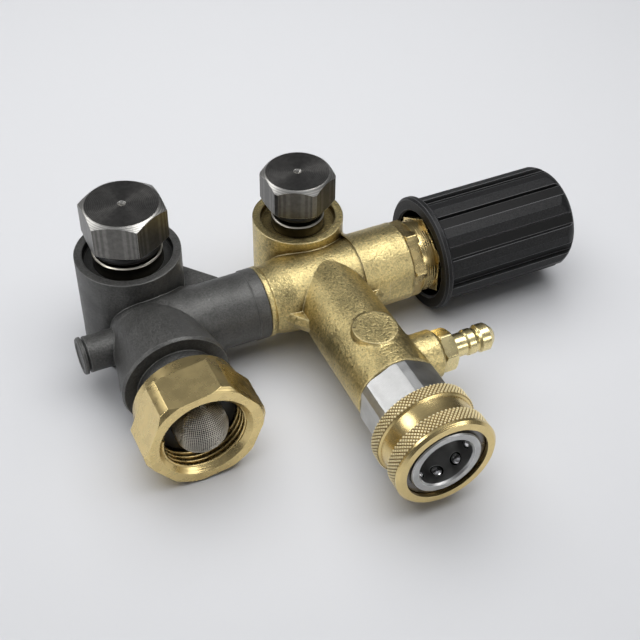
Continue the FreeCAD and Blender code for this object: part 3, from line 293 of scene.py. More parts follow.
def bolt_metal(name, center, head_low):
    """Dark nickel: a faced top whose marks run round, painted highlight on the chamfers, edges lightened for
    wear and painted highlight, painted shade in corners, and under the head up-facing lands painted lit over
    side faces painted in shade.
    """
    material, tree, shader = new_material(name, BOLT, 1.0, 0.30)
    shader.inputs["Anisotropic"].default_value = 0.75
    tangent = tree.nodes.new("ShaderNodeTangent")
    tangent.direction_type = "RADIAL"
    tangent.axis = "Z"
    tree.links.new(tangent.outputs["Tangent"], shader.inputs["Tangent"])
    point = object_point(tree, center)
    across = rings_across(tree, point, 0.55 * MM)
    mottle = noise(tree, point, 1.5 * MM, 4, 0.65)
    steepness = own(tree, "Normal", "Z")
    color = ramp(tree, mottle, (0.35, scaled(BOLT, 0.86)), (0.65, scaled(BOLT, 1.12)))
    # Painted highlight on the chamfers, picked by how steeply a face points up.
    chamfer_highlight = ramp(tree, steepness, (0.12, grey(0)), (0.3, grey(1)), (0.8, grey(1)), (0.93, grey(0)))
    color = blended(tree, calculate(tree, "MULTIPLY", chamfer_highlight, 0.8), color, (*BOLT_CHAMFER_HIGHLIGHT, 1))
    color = tinted(tree, color, across, (0.2, grey(0.8)), (0.8, grey(1.15)))
    # Under the head: up-facing lands get painted light and the side faces painted shade.
    below = spread(tree, own(tree, "Object", "Z"), 1, 0, head_low - 0.1 * MM, head_low + 0.5 * MM)
    lit_and_shaded_shank = ramp(tree, steepness, (0.4, BOLT_SHANK_SHADE), (0.7, BOLT_LAND_LIT))
    color = blended(tree, below, color, lit_and_shaded_shank)
    # Painted shade in corners and recesses.
    color = tinted(tree, color, corner_shade_mask(tree, 2.5 * MM), (0.25, BOLT_CORNER_SHADE), (0.8, grey(1)))
    # Edges lightened: wear and painted highlight.
    worn_and_lit = calculate(tree, "MULTIPLY", edge_wear_and_highlight(tree, 0.3 * MM), 0.8)
    color = blended(tree, worn_and_lit, color, (*BOLT_EDGE, 1))
    tree.links.new(color, shader.inputs["Base Color"])
    tree.links.new(spread(tree, mottle, 0.29, 0.35), shader.inputs["Roughness"])
    bump(tree, shader, (across, 0.012 * MM), edge=0.25 * MM)
    return material


def knurled_brass(name):
    """Brass whose knurl has painted shade in the grooves and a painted highlight on the points, with painted
    shade in corners.
    """
    material, tree, shader = new_material(name, BRASS, 1.0, 0.27)
    point = object_point(tree, OUTLET_AXIS, ALONG_Y)
    rings = rings_along(tree, point, 0.35 * MM)
    tone = noise(tree, object_point(tree, OUTLET_AXIS, ALONG_Y, (1, 1, 0.15)), 5 * MM, 3, 0.6)
    color = ramp(tree, tone, (0.35, scaled(BRASS, 0.88)), (0.65, BRASS))
    reach = axis_distance(tree, point)
    height = spread(tree, reach, 0, 1, (KNURL_BASE - 0.05) * MM, (KNURL_BASE + 0.4) * MM)
    # Painted light and shade on the knurl by height: shade in the grooves, half shade on the flanks,
    # highlight on the points.
    knurl_light_and_shade = ramp(tree, height, (0.0, KNURL_CUT_SHADE), (0.35, KNURL_FLANK), (0.70, KNURL_POINT_HIGHLIGHT))
    ring_edge = KNURL_END * MM
    smooth_ring = spread(tree, own(tree, "Object", "Y"), 1, 0, ring_edge - 0.1 * MM, ring_edge)
    waist = spread(tree, reach, 1, 0, (KNURL_BASE - 0.12) * MM, (KNURL_BASE - 0.06) * MM)
    plain = calculate(tree, "MAXIMUM", smooth_ring, waist)
    color = blended(tree, plain, blended(tree, 1.0, color, knurl_light_and_shade, "MULTIPLY"), color)
    # Painted shade in corners and recesses.
    color = tinted(tree, color, corner_shade_mask(tree, 2.5 * MM), (0.25, KNURL_CORNER_SHADE), (0.75, grey(1)))
    tree.links.new(color, shader.inputs["Base Color"])
    tree.links.new(spread(tree, plain, 0.40, 0.25, 0, 1), shader.inputs["Roughness"])
    tree.links.new(spread(tree, plain, 0.45, 1, 0, 1), shader.inputs["Metallic"])
    bump(tree, shader, (rings, 0.004 * MM))
    return material


def knob_moulding(name):
    """Black plastic with grain: ribs over flutes painted in deep shade, painted highlight and wear on the
    edges, painted shade in corners.
    """
    material, tree, shader = new_material(name, grey(0.012), 0.0, 0.46)
    shader.inputs["Specular IOR Level"].default_value = 0.22
    point = object_point(tree, MAIN_AXIS, ALONG_X)
    grain = noise(tree, point, 0.5 * MM, 3, 0.65)
    # Painted shade: the flutes are painted darker than the ribs.
    high = spread(tree, axis_distance(tree, point), 0, 1, FLUTE_R * MM, RIB_R * MM)
    color = blended(tree, high, (*KNOB_FLUTE_SHADE, 1), (*KNOB_RIB, 1))
    color = tinted(tree, color, grain, (0.35, grey(0.4)), (0.65, grey(1.7)))
    # Painted shade in corners and recesses.
    color = tinted(tree, color, corner_shade_mask(tree, 2.5 * MM), (0.4, grey(0.05)), (0.95, grey(1)))
    # Edges lightened: painted highlight and wear.
    worn_and_lit = calculate(tree, "MULTIPLY", edge_wear_and_highlight(tree, 0.45 * MM), 0.9)
    color = blended(tree, worn_and_lit, color, (*KNOB_EDGE_HIGHLIGHT, 1))
    tree.links.new(color, shader.inputs["Base Color"])
    bump(tree, shader, (grain, 0.05 * MM), edge=0.3 * MM)
    return material


def moulded(name, base, roughness, grain_size, depth, edge):
    """Plastic or rubber with a fine moulded grain."""
    material, tree, shader = new_material(name, base, 0.0, roughness)
    point = object_point(tree)
    grain = noise(tree, point, grain_size * MM, 3, 0.6)
    worn = noise(tree, point, 14 * MM, 3, 0.6)
    color = ramp(tree, worn, (0.35, base), (0.7, tuple(c * 1.5 for c in base)))
    tree.links.new(color, shader.inputs["Base Color"])
    tree.links.new(spread(tree, worn, roughness * 0.85, roughness * 1.2), shader.inputs["Roughness"])
    bump(tree, shader, (grain, depth * MM), edge=edge * MM)
    return material


# Colours, in linear light
BRASS = (0.84, 0.66, 0.31)
BRIGHT_BRASS = (0.90, 0.76, 0.40)
CAST_BRASS = (0.66, 0.54, 0.255)
# Edge colour for wear and painted highlight.
CAST_BRASS_EDGE = (1.0, 0.88, 0.54)
# Painted shade for corners and recesses.
CAST_BRASS_CORNER_SHADE = (0.20, 0.15, 0.08)
CAST_GREY = (0.105, 0.104, 0.099)
# Edge colour for wear and painted highlight.
CAST_GREY_EDGE = (0.26, 0.26, 0.25)
# Painted shade for corners and recesses.
CAST_GREY_CORNER_SHADE = (0.15, 0.15, 0.145)
# Knurl: painted shade in the grooves and on the flanks, painted highlight on the points.
KNURL_CUT_SHADE = (0.16, 0.13, 0.09)
KNURL_FLANK = (0.75, 0.72, 0.62)
KNURL_POINT_HIGHLIGHT = (1.18, 1.32, 1.75)
# Painted shade for corners and recesses.
KNURL_CORNER_SHADE = (0.32, 0.24, 0.13)
BOLT = (0.17, 0.165, 0.155)
# Painted highlight on the bolt chamfers.
BOLT_CHAMFER_HIGHLIGHT = (0.52, 0.51, 0.48)
# Under the head: painted shade on side faces, painted light on up-facing lands.
BOLT_SHANK_SHADE = (0.15, 0.14, 0.11)
BOLT_LAND_LIT = (0.60, 0.57, 0.48)
# Edge colour for wear and painted highlight.
BOLT_EDGE = (0.72, 0.71, 0.68)
# Painted shade for corners and recesses.
BOLT_CORNER_SHADE = (0.22, 0.20, 0.16)
STEEL = (0.58, 0.58, 0.57)
WIRE_STEEL = (0.66, 0.62, 0.54)
SPRING_STEEL = (0.28, 0.28, 0.29)
BALL_STEEL = (0.80, 0.80, 0.81)
# Knob: flutes painted in deep shade.
KNOB_FLUTE_SHADE = grey(0.001)
KNOB_RIB = (0.0115, 0.0115, 0.012)
# Edge colour: painted highlight and wear.
KNOB_EDGE_HIGHLIGHT = (0.19, 0.19, 0.195)
WHITE_PLASTIC = (0.75, 0.74, 0.70)
RUBBER = grey(0.006)

# Places on the pieces, in millimetres
OUTLET_HEAD_LOW = 38.0
INLET_HEAD_LOW = 42.4
FLUTE_R = 16.9
RIB_R = 17.9
KNURL_BASE = 15.8
KNURL_END = -101.35

MATERIALS = {
    "cast_brass": casting("cast_brass", CAST_BRASS, CAST_BRASS_EDGE, CAST_BRASS_CORNER_SHADE,
                          metallic=1.0, rough=0.37, grain_size=0.8, grain_depth=0.20),
    "cast_grey": casting("cast_grey", CAST_GREY, CAST_GREY_EDGE, CAST_GREY_CORNER_SHADE,
                         metallic=0.55, rough=0.44, grain_size=0.6, grain_depth=0.10),
    "brass_nut": turned_metal("brass_nut", BRASS, 0.27, INLET_AXIS, ALONG_Y, mark=0.45, depth=0.006),
    "brass_sleeve": knurled_brass("brass_sleeve"),
    "brass_barb": turned_metal("brass_barb", BRIGHT_BRASS, 0.26, BARB_AXIS, ALONG_X, mark=0.3, depth=0.006),
    "brass_bonnet": turned_metal("brass_bonnet", BRASS, 0.27, MAIN_AXIS, ALONG_X, mark=0.3, depth=0.006),
    "dark_bolt": bolt_metal("dark_bolt", (0, 0, 0), OUTLET_HEAD_LOW * MM),
    "dark_inlet_bolt": bolt_metal("dark_inlet_bolt", INLET_BOLT_AXIS, INLET_HEAD_LOW * MM),
    "bright_steel": turned_metal("bright_steel", STEEL, 0.36, OUTLET_AXIS, ALONG_Y, mark=0.6, depth=0.012,
                                 shade=0.78, bright=1.7, corner=grey(0.15)),
    "mesh_steel": turned_metal("mesh_steel", WIRE_STEEL, 0.30, INLET_AXIS, ALONG_Y, mark=0.5, depth=0.001,
                               edge=0, shade=0.8, bright=1.2, corner=grey(0.2)),
    "spring_steel": turned_metal("spring_steel", SPRING_STEEL, 0.3, (0, 0, 0), ALONG_X),
    "ball_steel": turned_metal("ball_steel", BALL_STEEL, 0.08, (0, 0, 0), ALONG_X, mark=0.5, depth=0.001,
                               edge=0),
    "knob_plastic": knob_moulding("knob_plastic"),
    "white_plastic": moulded("white_plastic", WHITE_PLASTIC, 0.4, grain_size=0.5, depth=0.01, edge=0.2),
    "seal_rubber": moulded("seal_rubber", RUBBER, 0.42, grain_size=0.5, depth=0.01, edge=0.1),
}

FINISHES = {
    "cast_brass": ["valve_body"],
    "cast_grey": ["inlet_body"],
    "brass_nut": ["inlet_nut"],
    "brass_sleeve": ["coupler_sleeve", "injector_nozzle", "check_seat"],
    "brass_barb": ["barb_fitting"],
    "brass_bonnet": ["bonnet", "knob_insert", "bypass_seat", "lower_spring_plate", "upper_spring_plate"],
    "dark_bolt": ["outlet_bolt"],
    "dark_inlet_bolt": ["inlet_bolt"],
    "bright_steel": ["coupler_socket", "piston_stem"],
    "mesh_steel": ["filter_screen"],
    "spring_steel": [
        "main_spring", "check_spring", "sleeve_spring", "injector_spring", "sleeve_ring", "inlet_nut_ring"],
    "ball_steel": ["valve_ball", "injector_ball", "thrust_ball"] + [f"lock_ball_{i}" for i in range(1, 9)],
    "knob_plastic": ["knob"],
    "white_plastic": ["piston_backup", "check_poppet"],
    "seal_rubber": [
        "connector_oring", "bypass_seat_oring", "bonnet_oring", "piston_oring", "nozzle_oring",
        "check_seat_oring", "check_seal", "plug_seal", "barb_oring", "hose_washer", "outlet_bolt_upper_oring",
        "outlet_bolt_lower_oring", "inlet_bolt_upper_oring", "inlet_bolt_lower_oring", "filter_rim"],
}

for finish, names in FINISHES.items():
    for name in names:
        NODES[name].data.materials.clear()
        NODES[name].data.materials.append(MATERIALS[finish])


# Repeated details grown by node trees

# The knurled bands of the sleeve, in millimetres: where each starts, its length and its rows of points
KNURL_BANDS = {"rear_knurl": (-90.25, 3.7, 6), "front_knurl": (-101.3, 4.6, 7)}
KNURL_AROUND = 76
KNURL_HEIGHT = 0.42
KNURL_SUNK = 0.03
KNURL_TIP_SHARE = 0.42

# The wire cloth of the inlet filter and a near-black thimble under it that paints the shade inside the
# screen, in millimetres
CLOTH_PITCH = 0.56
WIRE_R = 0.12
DOME_RISE = 6.5
SHADE_THIMBLE_GAP = 0.35
SHADE_THIMBLE_WALL = 0.4
SHADE_THIMBLE_PINHOLE_R = 0.02

# The two helical threads, in millimetres
NUT_THREAD_START = -57.6
NUT_THREAD = {"Radius": 13.05, "Length": 6.4, "Pitch": 1.81, "Ridge": 0.62}
NECK_THREAD_START = 33.9
NECK_THREAD = {"Radius": 11.85, "Length": 2.9, "Pitch": 0.75, "Ridge": 0.33}

CREASE = math.radians(25)


def new_tree(name, **inputs):
    """A geometry node tree with named inputs, and the sockets that carry them."""
    tree = bpy.data.node_groups.new(name, "GeometryNodeTree")
    for label, kind in inputs.items():
        tree.interface.new_socket(label, in_out="INPUT", socket_type=f"NodeSocket{kind}")
    tree.interface.new_socket("Geometry", in_out="OUTPUT", socket_type="NodeSocketGeometry")
    return tree, tree.nodes.new("NodeGroupInput").outputs


def vector(tree, x, y, z):
    """A vector from three numbers or sockets."""
    node = tree.nodes.new("ShaderNodeCombineXYZ")
    for value, socket in zip((x, y, z), node.inputs):
        feed(tree, value, socket)
    return node.outputs[0]


def vector_sum(tree, *values):
    """The sum of vectors or sockets."""
    total = values[0]
    for value in values[1:]:
        node = tree.nodes.new("ShaderNodeVectorMath")
        node.operation = "ADD"
        feed(tree, total, node.inputs[0])
        feed(tree, value, node.inputs[1])
        total = node.outputs[0]
    return total


def close_tree(tree, geometry, material):
    """Ends a tree with real geometry in one material."""
    realize = tree.nodes.new("GeometryNodeRealizeInstances")
    paint = tree.nodes.new("GeometryNodeSetMaterial")
    end = tree.nodes.new("NodeGroupOutput")
    tree.links.new(geometry, realize.inputs["Geometry"])
    tree.links.new(realize.outputs["Geometry"], paint.inputs["Geometry"])
    tree.links.new(material, paint.inputs["Material"])
    tree.links.new(paint.outputs["Geometry"], end.inputs["Geometry"])


def grown(name, tree, **values):
    """Runs a tree with the given inputs and keeps its result as a plain mesh."""
    carrier = bpy.data.objects.new(name, bpy.data.meshes.new(name))
    bpy.context.scene.collection.objects.link(carrier)
    modifier = carrier.modifiers.new(name, "NODES")
    modifier.node_group = tree
    for item in tree.interface.items_tree:
        if item.in_out == "INPUT":
            modifier[item.identifier] = values[item.name]
    graph = bpy.context.evaluated_depsgraph_get()
    mesh = bpy.data.meshes.new_from_object(carrier.evaluated_get(graph))
    bpy.data.objects.remove(carrier)
    return placed(name, mesh)


def placed(name, mesh):
    """A mesh as an object of the scene."""
    piece = bpy.data.objects.new(name, mesh)
    bpy.context.scene.collection.objects.link(piece)
    return piece


def merged(name, *pieces):
    """One mesh object from several. A grown mesh may have an empty first slot, so its last one counts."""
    shape = bmesh.new()
    materials = []
    for piece in pieces:
        material = piece.data.materials[-1]
        if material not in materials:
            materials.append(material)
        before = len(shape.faces)
        shape.from_mesh(piece.data)
        shape.faces.ensure_lookup_table()
        for face in shape.faces[before:]:
            face.material_index = materials.index(material)
        bpy.data.objects.remove(piece)
    mesh = bpy.data.meshes.new(name)
    shape.to_mesh(mesh)
    shape.free()
    for material in materials:
        mesh.materials.append(material)
    return placed(name, mesh)


def knurl_tree():
    """Diamond points in staggered rows round an axis along Y."""
    tree, given = new_tree("knurl", Center="Vector", Radius="Float", Start="Float", Length="Float",
                           Height="Float", Around="Int", Rows="Int", Material="Material")
    index = tree.nodes.new("GeometryNodeInputIndex").outputs[0]
    turns = calculate(tree, "DIVIDE", calculate(tree, "ADD", index, 0.5), given["Around"])
    row = calculate(tree, "FLOOR", turns)
    column = calculate(tree, "SUBTRACT", index, calculate(tree, "MULTIPLY", row, given["Around"]))
    stagger = calculate(tree, "MULTIPLY", calculate(tree, "MODULO", row, 2.0), 0.5)
    step = calculate(tree, "DIVIDE", math.tau, given["Around"])
    angle = calculate(tree, "MULTIPLY", calculate(tree, "ADD", column, stagger), step)
    spacing = calculate(tree, "DIVIDE", given["Length"], given["Rows"])
    place = calculate(tree, "MULTIPLY_ADD", calculate(tree, "ADD", row, 0.5), spacing, given["Start"])
    across = calculate(tree, "COSINE", angle)
    up = calculate(tree, "SINE", angle)
    outward = vector(tree, across, 0.0, up)
    spot = vector(tree, calculate(tree, "MULTIPLY", across, given["Radius"]), place,
                  calculate(tree, "MULTIPLY", up, given["Radius"]))
    points = tree.nodes.new("GeometryNodePoints")
    tree.links.new(calculate(tree, "MULTIPLY", given["Around"], given["Rows"]), points.inputs["Count"])
    tree.links.new(vector_sum(tree, spot, given["Center"]), points.inputs["Position"])
    half = calculate(tree, "MULTIPLY", calculate(tree, "MULTIPLY", given["Radius"], step), 0.5)
    point = tree.nodes.new("GeometryNodeMeshCone")
    point.inputs["Vertices"].default_value = 4
    tree.links.new(calculate(tree, "MULTIPLY", half, KNURL_TIP_SHARE), point.inputs["Radius Top"])
    tree.links.new(half, point.inputs["Radius Bottom"])
    tree.links.new(given["Height"], point.inputs["Depth"])
    lengthwise = tree.nodes.new("FunctionNodeAlignRotationToVector")
    lengthwise.axis = "X"
    lengthwise.inputs["Vector"].default_value = (0, 1, 0)
    facing = tree.nodes.new("FunctionNodeAlignRotationToVector")
    facing.axis = "Z"
    facing.pivot_axis = "X"
    tree.links.new(lengthwise.outputs["Rotation"], facing.inputs["Rotation"])
    tree.links.new(outward, facing.inputs["Vector"])
    instances = tree.nodes.new("GeometryNodeInstanceOnPoints")
    tree.links.new(points.outputs[0], instances.inputs["Points"])
    tree.links.new(point.outputs["Mesh"], instances.inputs["Instance"])
    tree.links.new(facing.outputs["Rotation"], instances.inputs["Rotation"])
    stretch = vector(tree, calculate(tree, "DIVIDE", spacing, half), 1.0, 1.0)
    tree.links.new(stretch, instances.inputs["Scale"])
    close_tree(tree, instances.outputs["Instances"], given["Material"])
    return tree


def screen_tree():
    """Square cloth pressed into a thimble: a grid over an oval dome and down its tube, each edge a wire."""
    tree, given = new_tree("screen", Center="Vector", Radius="Float", Dome="Float", Apex="Float",
                           Reach="Float", Pitch="Float", Wire="Float", Material="Material")
    grid = tree.nodes.new("GeometryNodeMeshGrid")
    size = calculate(tree, "MULTIPLY", given["Reach"], 2.0)
    count = calculate(tree, "DIVIDE", size, given["Pitch"])
    for axis in "XY":
        tree.links.new(size, grid.inputs[f"Size {axis}"])
        tree.links.new(count, grid.inputs[f"Vertices {axis}"])
    place = tree.nodes.new("GeometryNodeInputPosition").outputs[0]
    parts = tree.nodes.new("ShaderNodeSeparateXYZ")
    tree.links.new(place, parts.inputs[0])
    reach = axis_distance(tree, place)
    outside = tree.nodes.new("FunctionNodeCompare")
    outside.operation = "GREATER_THAN"
    feed(tree, reach, outside.inputs["A"])
    feed(tree, given["Reach"], outside.inputs["B"])
    trim = tree.nodes.new("GeometryNodeDeleteGeometry")
    tree.links.new(grid.outputs["Mesh"], trim.inputs["Geometry"])
    tree.links.new(outside.outputs["Result"], trim.inputs["Selection"])
    arc = calculate(tree, "MULTIPLY", calculate(tree, "ADD", given["Radius"], given["Dome"]), math.pi / 4)
    along_arc = calculate(tree, "MINIMUM", calculate(tree, "DIVIDE", reach, arc), 1.0)
    lean = calculate(tree, "MULTIPLY", along_arc, math.pi / 2)
    tube = calculate(tree, "MAXIMUM", calculate(tree, "SUBTRACT", reach, arc), 0.0)
    radius = calculate(tree, "MULTIPLY", given["Radius"], calculate(tree, "SINE", lean))
    sunk = calculate(tree, "SUBTRACT", 1.0, calculate(tree, "COSINE", lean))
    fall = calculate(tree, "MULTIPLY", given["Dome"], sunk)
    share = calculate(tree, "DIVIDE", radius, calculate(tree, "MAXIMUM", reach, 1e-6))
    depth = calculate(tree, "ADD", given["Apex"], calculate(tree, "ADD", fall, tube))
    spot = vector(tree, calculate(tree, "MULTIPLY", parts.outputs["X"], share), depth,
                  calculate(tree, "MULTIPLY", parts.outputs["Y"], share))
    move = tree.nodes.new("GeometryNodeSetPosition")
    tree.links.new(trim.outputs["Geometry"], move.inputs["Geometry"])
    tree.links.new(vector_sum(tree, spot, given["Center"]), move.inputs["Position"])
    close_tree(tree, wires(tree, move.outputs["Geometry"], given["Wire"]), given["Material"])
    return tree


def swept(tree, curve, radius):
    """A thin four-sided rod along a curve."""
    section = tree.nodes.new("GeometryNodeCurvePrimitiveCircle")
    section.inputs["Resolution"].default_value = 4
    sweep = tree.nodes.new("GeometryNodeCurveToMesh")
    sweep.inputs["Fill Caps"].default_value = True
    tree.links.new(radius, section.inputs["Radius"])
    tree.links.new(curve, sweep.inputs["Curve"])
    tree.links.new(section.outputs["Curve"], sweep.inputs["Profile Curve"])
    return sweep.outputs["Mesh"]


def wires(tree, geometry, radius):
    """A thin wire along each edge of a mesh."""
    lines = tree.nodes.new("GeometryNodeMeshToCurve")
    tree.links.new(geometry, lines.inputs["Mesh"])
    return swept(tree, lines.outputs["Curve"], radius)


def thread_tree():
    """A helical ridge round Z, turned onto a part's axis."""
    tree, given = new_tree("thread", Place="Vector", Turn="Vector", Radius="Float", Length="Float",
                           Pitch="Float", Ridge="Float", Material="Material")
    spiral = tree.nodes.new("GeometryNodeCurveSpiral")
    spiral.inputs["Resolution"].default_value = 64
    tree.links.new(calculate(tree, "DIVIDE", given["Length"], given["Pitch"]), spiral.inputs["Rotations"])
    tree.links.new(given["Radius"], spiral.inputs["Start Radius"])
    tree.links.new(given["Radius"], spiral.inputs["End Radius"])
    tree.links.new(given["Length"], spiral.inputs["Height"])
    level = tree.nodes.new("GeometryNodeSetCurveNormal")
    level.mode = "Z_UP"
    tree.links.new(spiral.outputs["Curve"], level.inputs["Curve"])
    turned = tree.nodes.new("GeometryNodeTransform")
    ridge = swept(tree, level.outputs["Curve"], given["Ridge"])
    tree.links.new(ridge, turned.inputs["Geometry"])
    tree.links.new(given["Place"], turned.inputs["Translation"])
    tree.links.new(given["Turn"], turned.inputs["Rotation"])
    close_tree(tree, turned.outputs["Geometry"], given["Material"])
    return tree


def lathed(name, center, profile, material, segments=160):
    """A closed ring turned round an axis along Y from (station, radius) points in millimetres."""
    shape = bmesh.new()
    rings = []
    for step in range(segments):
        angle = math.tau * step / segments
        outward = Vector((math.cos(angle), 0, math.sin(angle)))
        spots = [center + outward * radius * MM + Vector((0, station * MM, 0)) for station, radius in profile]
        rings.append([shape.verts.new(spot) for spot in spots])
    for step in range(segments):
        here = rings[step - 1]
        there = rings[step]
        for k in range(len(profile)):
            shape.faces.new((here[k - 1], here[k], there[k], there[k - 1]))
    bmesh.ops.recalc_face_normals(shape, faces=shape.faces)
    mesh = bpy.data.meshes.new(name)
    shape.to_mesh(mesh)
    shape.free()
    mesh.materials.append(material)
    mesh.shade_smooth()
    mesh.set_sharp_from_angle(angle=CREASE)
    return placed(name, mesh)


# The sleeve's section, as station along the coupler's axis and radius, in millimetres
SLEEVE_PROFILE = [
    (-86.15, 13.65), (-86.15, 15.3), (-86.65, KNURL_BASE), (-90.3, KNURL_BASE), (-90.45, 15.6),
    (-90.8, 15.05), (-92.2, 14.92), (-93.5, 14.9), (-94.8, 14.92), (-96.2, 15.05), (-96.6, 15.6),
    (-96.7, KNURL_BASE), (KNURL_END, KNURL_BASE), (-101.5, 16.2), (-102.3, 16.2), (-103.1, 15.4),
    (-103.1, 13.2), (-100.5, 13.2), (-100.5, 12.6), (-96.83, 11.5), (-95.9, 11.5), (-95.9, 13.65)]


def make_sleeve():
    """The turned coupler sleeve with its two knurled bands."""
    knurl = knurl_tree()
    brass = MATERIALS["brass_sleeve"]
    pieces = [lathed("sleeve_turned", OUTLET_AXIS, SLEEVE_PROFILE, brass)]
    for name, (start, length, rows) in KNURL_BANDS.items():
        band = grown(name, knurl, Center=OUTLET_AXIS, Radius=(KNURL_BASE - KNURL_SUNK) * MM, Start=start * MM,
                     Length=length * MM, Height=KNURL_HEIGHT * MM, Around=KNURL_AROUND, Rows=rows,
                     Material=brass)
        pieces.append(band)
    sleeve = merged("knurled_sleeve", *pieces)
    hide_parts("coupler_sleeve")
    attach(sleeve, "sleeve")


def make_screen():
    """Wire cloth over a near-black inner thimble that paints the shade inside the screen, both inside the
    plain solid's box.
    """
    wire = WIRE_R * MM
    radius = (SCREEN_HIGH.x - SCREEN_LOW.x) / 2 - wire
    rise = DOME_RISE * MM
    apex = SCREEN_LOW.y + wire
    arc = (radius + rise) * math.pi / 4
    tube = SCREEN_HIGH.y - apex - rise - wire
    cloth = grown("wire_cloth", screen_tree(), Center=INLET_AXIS, Radius=radius, Dome=rise, Apex=apex,
                  Reach=arc + tube, Pitch=CLOTH_PITCH * MM, Wire=wire, Material=MATERIALS["mesh_steel"])
    inner = radius / MM - SHADE_THIMBLE_GAP
    drop = rise / MM - SHADE_THIMBLE_GAP
    mouth = SCREEN_HIGH.y / MM
    middle = (apex + rise) / MM
    leans = [math.radians(5 * k) for k in range(18)]
    outside = [(middle - drop * math.sin(lean), inner * math.cos(lean)) for lean in leans]
    tip = [(middle - drop, SHADE_THIMBLE_PINHOLE_R), (middle - drop + SHADE_THIMBLE_WALL, SHADE_THIMBLE_PINHOLE_R)]
    inside = [(station + SHADE_THIMBLE_WALL, max(reach - SHADE_THIMBLE_WALL, SHADE_THIMBLE_PINHOLE_R + 0.01))
              for station, reach in reversed(outside)]
    section = [(mouth, inner), *outside, *tip, *inside, (mouth, inner - SHADE_THIMBLE_WALL)]
    # A near-black thimble of painted shade under the wire cloth.
    shade_thimble = lathed("screen_shade_thimble", INLET_AXIS, section, MATERIALS["seal_rubber"], segments=48)
    screen = merged("woven_screen", cloth, shade_thimble)
    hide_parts("filter_screen")
    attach(screen, "valve")


def in_metres(sizes):
    """Named sizes turned from millimetres into metres."""
    return {name: size * MM for name, size in sizes.items()}


def make_threads():
    """The coarse thread inside the swivel nut and the fine one on the bonnet's neck."""
    thread = thread_tree()
    mouth = INLET_AXIS + Vector((0, NUT_THREAD_START * MM, 0))
    nut = grown("nut_thread", thread, Place=mouth, Turn=ALONG_Y, Material=MATERIALS["brass_nut"],
                **in_metres(NUT_THREAD))
    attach(nut, "swivel_nut")
    foot = MAIN_AXIS + Vector((NECK_THREAD_START * MM, 0, 0))
    neck = grown("bonnet_thread", thread, Place=foot, Turn=ALONG_X, Material=MATERIALS["brass_bonnet"],
                 **in_metres(NECK_THREAD))
    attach(neck, "valve")


make_sleeve()
make_screen()
make_threads()


# Camera

CAMERA_PLACE = Vector((-129.42, -285.08, 279.03)) * MM
CAMERA_PITCH = math.radians(43.35)
CAMERA_YAW = math.radians(25.88)
CAMERA_ROLL = math.radians(-0.97)
CAMERA_LENS = 67.52


def make_camera():
    """A camera at its place, aimed by yaw and pitch, then rolled."""
    flat = math.cos(CAMERA_PITCH)
    forward = Vector((math.sin(CAMERA_YAW) * flat, math.cos(CAMERA_YAW) * flat, -math.sin(CAMERA_PITCH)))
    level = Vector((math.cos(CAMERA_YAW), -math.sin(CAMERA_YAW), 0))
    down = forward.cross(level)
    right = level * math.cos(CAMERA_ROLL) + down * math.sin(CAMERA_ROLL)
    up = level * math.sin(CAMERA_ROLL) - down * math.cos(CAMERA_ROLL)
    data = bpy.data.cameras.new("camera")
    data.lens = CAMERA_LENS
    data.sensor_width = 36
    data.clip_start = 0.01
    camera = bpy.data.objects.new("camera", data)
    rotation = Matrix((right, up, -forward)).transposed().to_4x4()
    camera.matrix_world = Matrix.Translation(CAMERA_PLACE) @ rotation
    bpy.context.scene.collection.objects.link(camera)
    bpy.context.scene.camera = camera


# Floor and light

# Three spots where the valve touches the floor
KNOB_FOOT = Vector((38.2 * MM, MAIN_AXIS.y, KNOB_LOW.z))
NUT_FOOT = Vector((INLET_AXIS.x - 6 * MM, NUT_LOW.y + 2 * MM, NUT_LOW.z))
EYE_FOOT = Vector((-58.5 * MM, 16.8 * MM, 0))

FLOOR_COLOR = (0.67, 0.675, 0.69)
FLOOR_REACH = 3.0
ROOM_BELOW = grey(0.10)
ROOM_LEVEL = (0.13, 0.13, 0.135)
ROOM_ABOVE = (0.40, 0.41, 0.43)


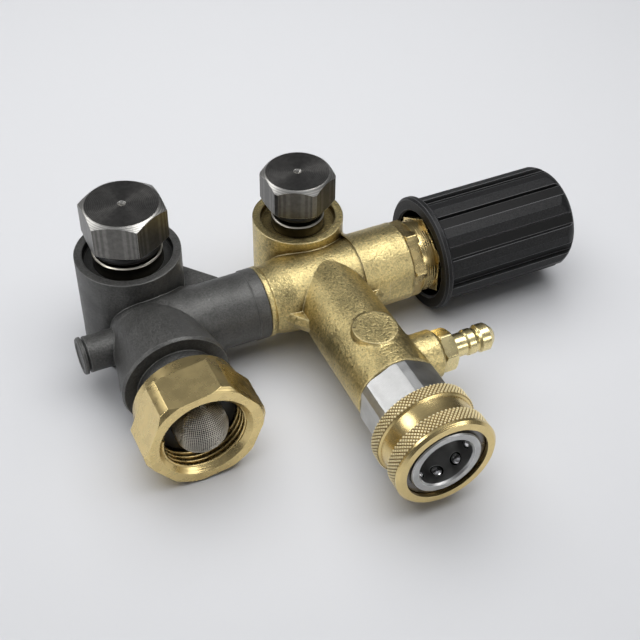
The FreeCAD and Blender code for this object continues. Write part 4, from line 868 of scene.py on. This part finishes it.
def make_floor():
    """A pale floor through the three points that the valve lies on."""
    normal = (NUT_FOOT - EYE_FOOT).cross(KNOB_FOOT - EYE_FOOT).normalized()
    across = normal.orthogonal().normalized()
    along = normal.cross(across)
    middle = (NUT_FOOT + EYE_FOOT + KNOB_FOOT) / 3 - normal * 0.05 * MM
    mesh = bpy.data.meshes.new("floor")
    signs = ((-1, -1), (1, -1), (1, 1), (-1, 1))
    corners = [middle + across * FLOOR_REACH * a + along * FLOOR_REACH * b for a, b in signs]
    mesh.from_pydata(corners, [], [(0, 1, 2, 3)])
    floor = placed("floor", mesh)
    material, _, shader = new_material("floor", FLOOR_COLOR, 0.0, 0.7)
    shader.inputs["Specular IOR Level"].default_value = 0.1
    mesh.materials.append(material)


def lamp(name, place, aim, size, power, glossy=True, diffuse=True):
    """A flat light of a width and height, facing a point, seen by gloss, by matt surfaces or by both."""
    data = bpy.data.lights.new(name, "AREA")
    data.shape = "RECTANGLE"
    data.size, data.size_y = size
    data.energy = power
    light = bpy.data.objects.new(name, data)
    light.visible_glossy = glossy
    light.visible_diffuse = diffuse
    away = Vector(place) - Vector(aim)
    light.matrix_world = Matrix.Translation(place) @ away.to_track_quat("Z", "Y").to_matrix().to_4x4()
    bpy.context.scene.collection.objects.link(light)


def make_light():
    """A dim room, lighter overhead, with a broad soft box for the shadows and four smaller ones for gloss."""
    world = bpy.data.worlds.new("studio")
    world.use_nodes = True
    tree = world.node_tree
    background = tree.nodes["Background"]
    direction = tree.nodes.new("ShaderNodeTexCoord").outputs["Generated"]
    parts = tree.nodes.new("ShaderNodeSeparateXYZ")
    tree.links.new(direction, parts.inputs[0])
    tones = ramp(tree, parts.outputs["Z"], (0.0, ROOM_BELOW), (0.5, ROOM_LEVEL), (1.0, ROOM_ABOVE))
    tree.links.new(tones, background.inputs["Color"])
    background.inputs["Strength"].default_value = 1.0
    bpy.context.scene.world = world
    middle = (0, -0.03, 0.01)
    lamp("sky", (0.02, 0.06, 0.46), (0.02, 0.03, 0), (0.70, 0.70), 3.5, glossy=False)
    lamp("key", (0.16, -0.06, 0.50), middle, (0.24, 0.22), 1.15, diffuse=False)
    lamp("back", (-0.40, 0.30, 0.44), middle, (0.24, 0.24), 0.75, diffuse=False)
    lamp("left", (-0.55, -0.12, 0.26), middle, (0.16, 0.30), 0.9, diffuse=False)
    lamp("front", (0.30, -0.60, 0.26), middle, (0.40, 0.14), 0.8, diffuse=False)


make_camera()
make_floor()
make_light()

bpy.context.scene.view_settings.view_transform = "Standard"
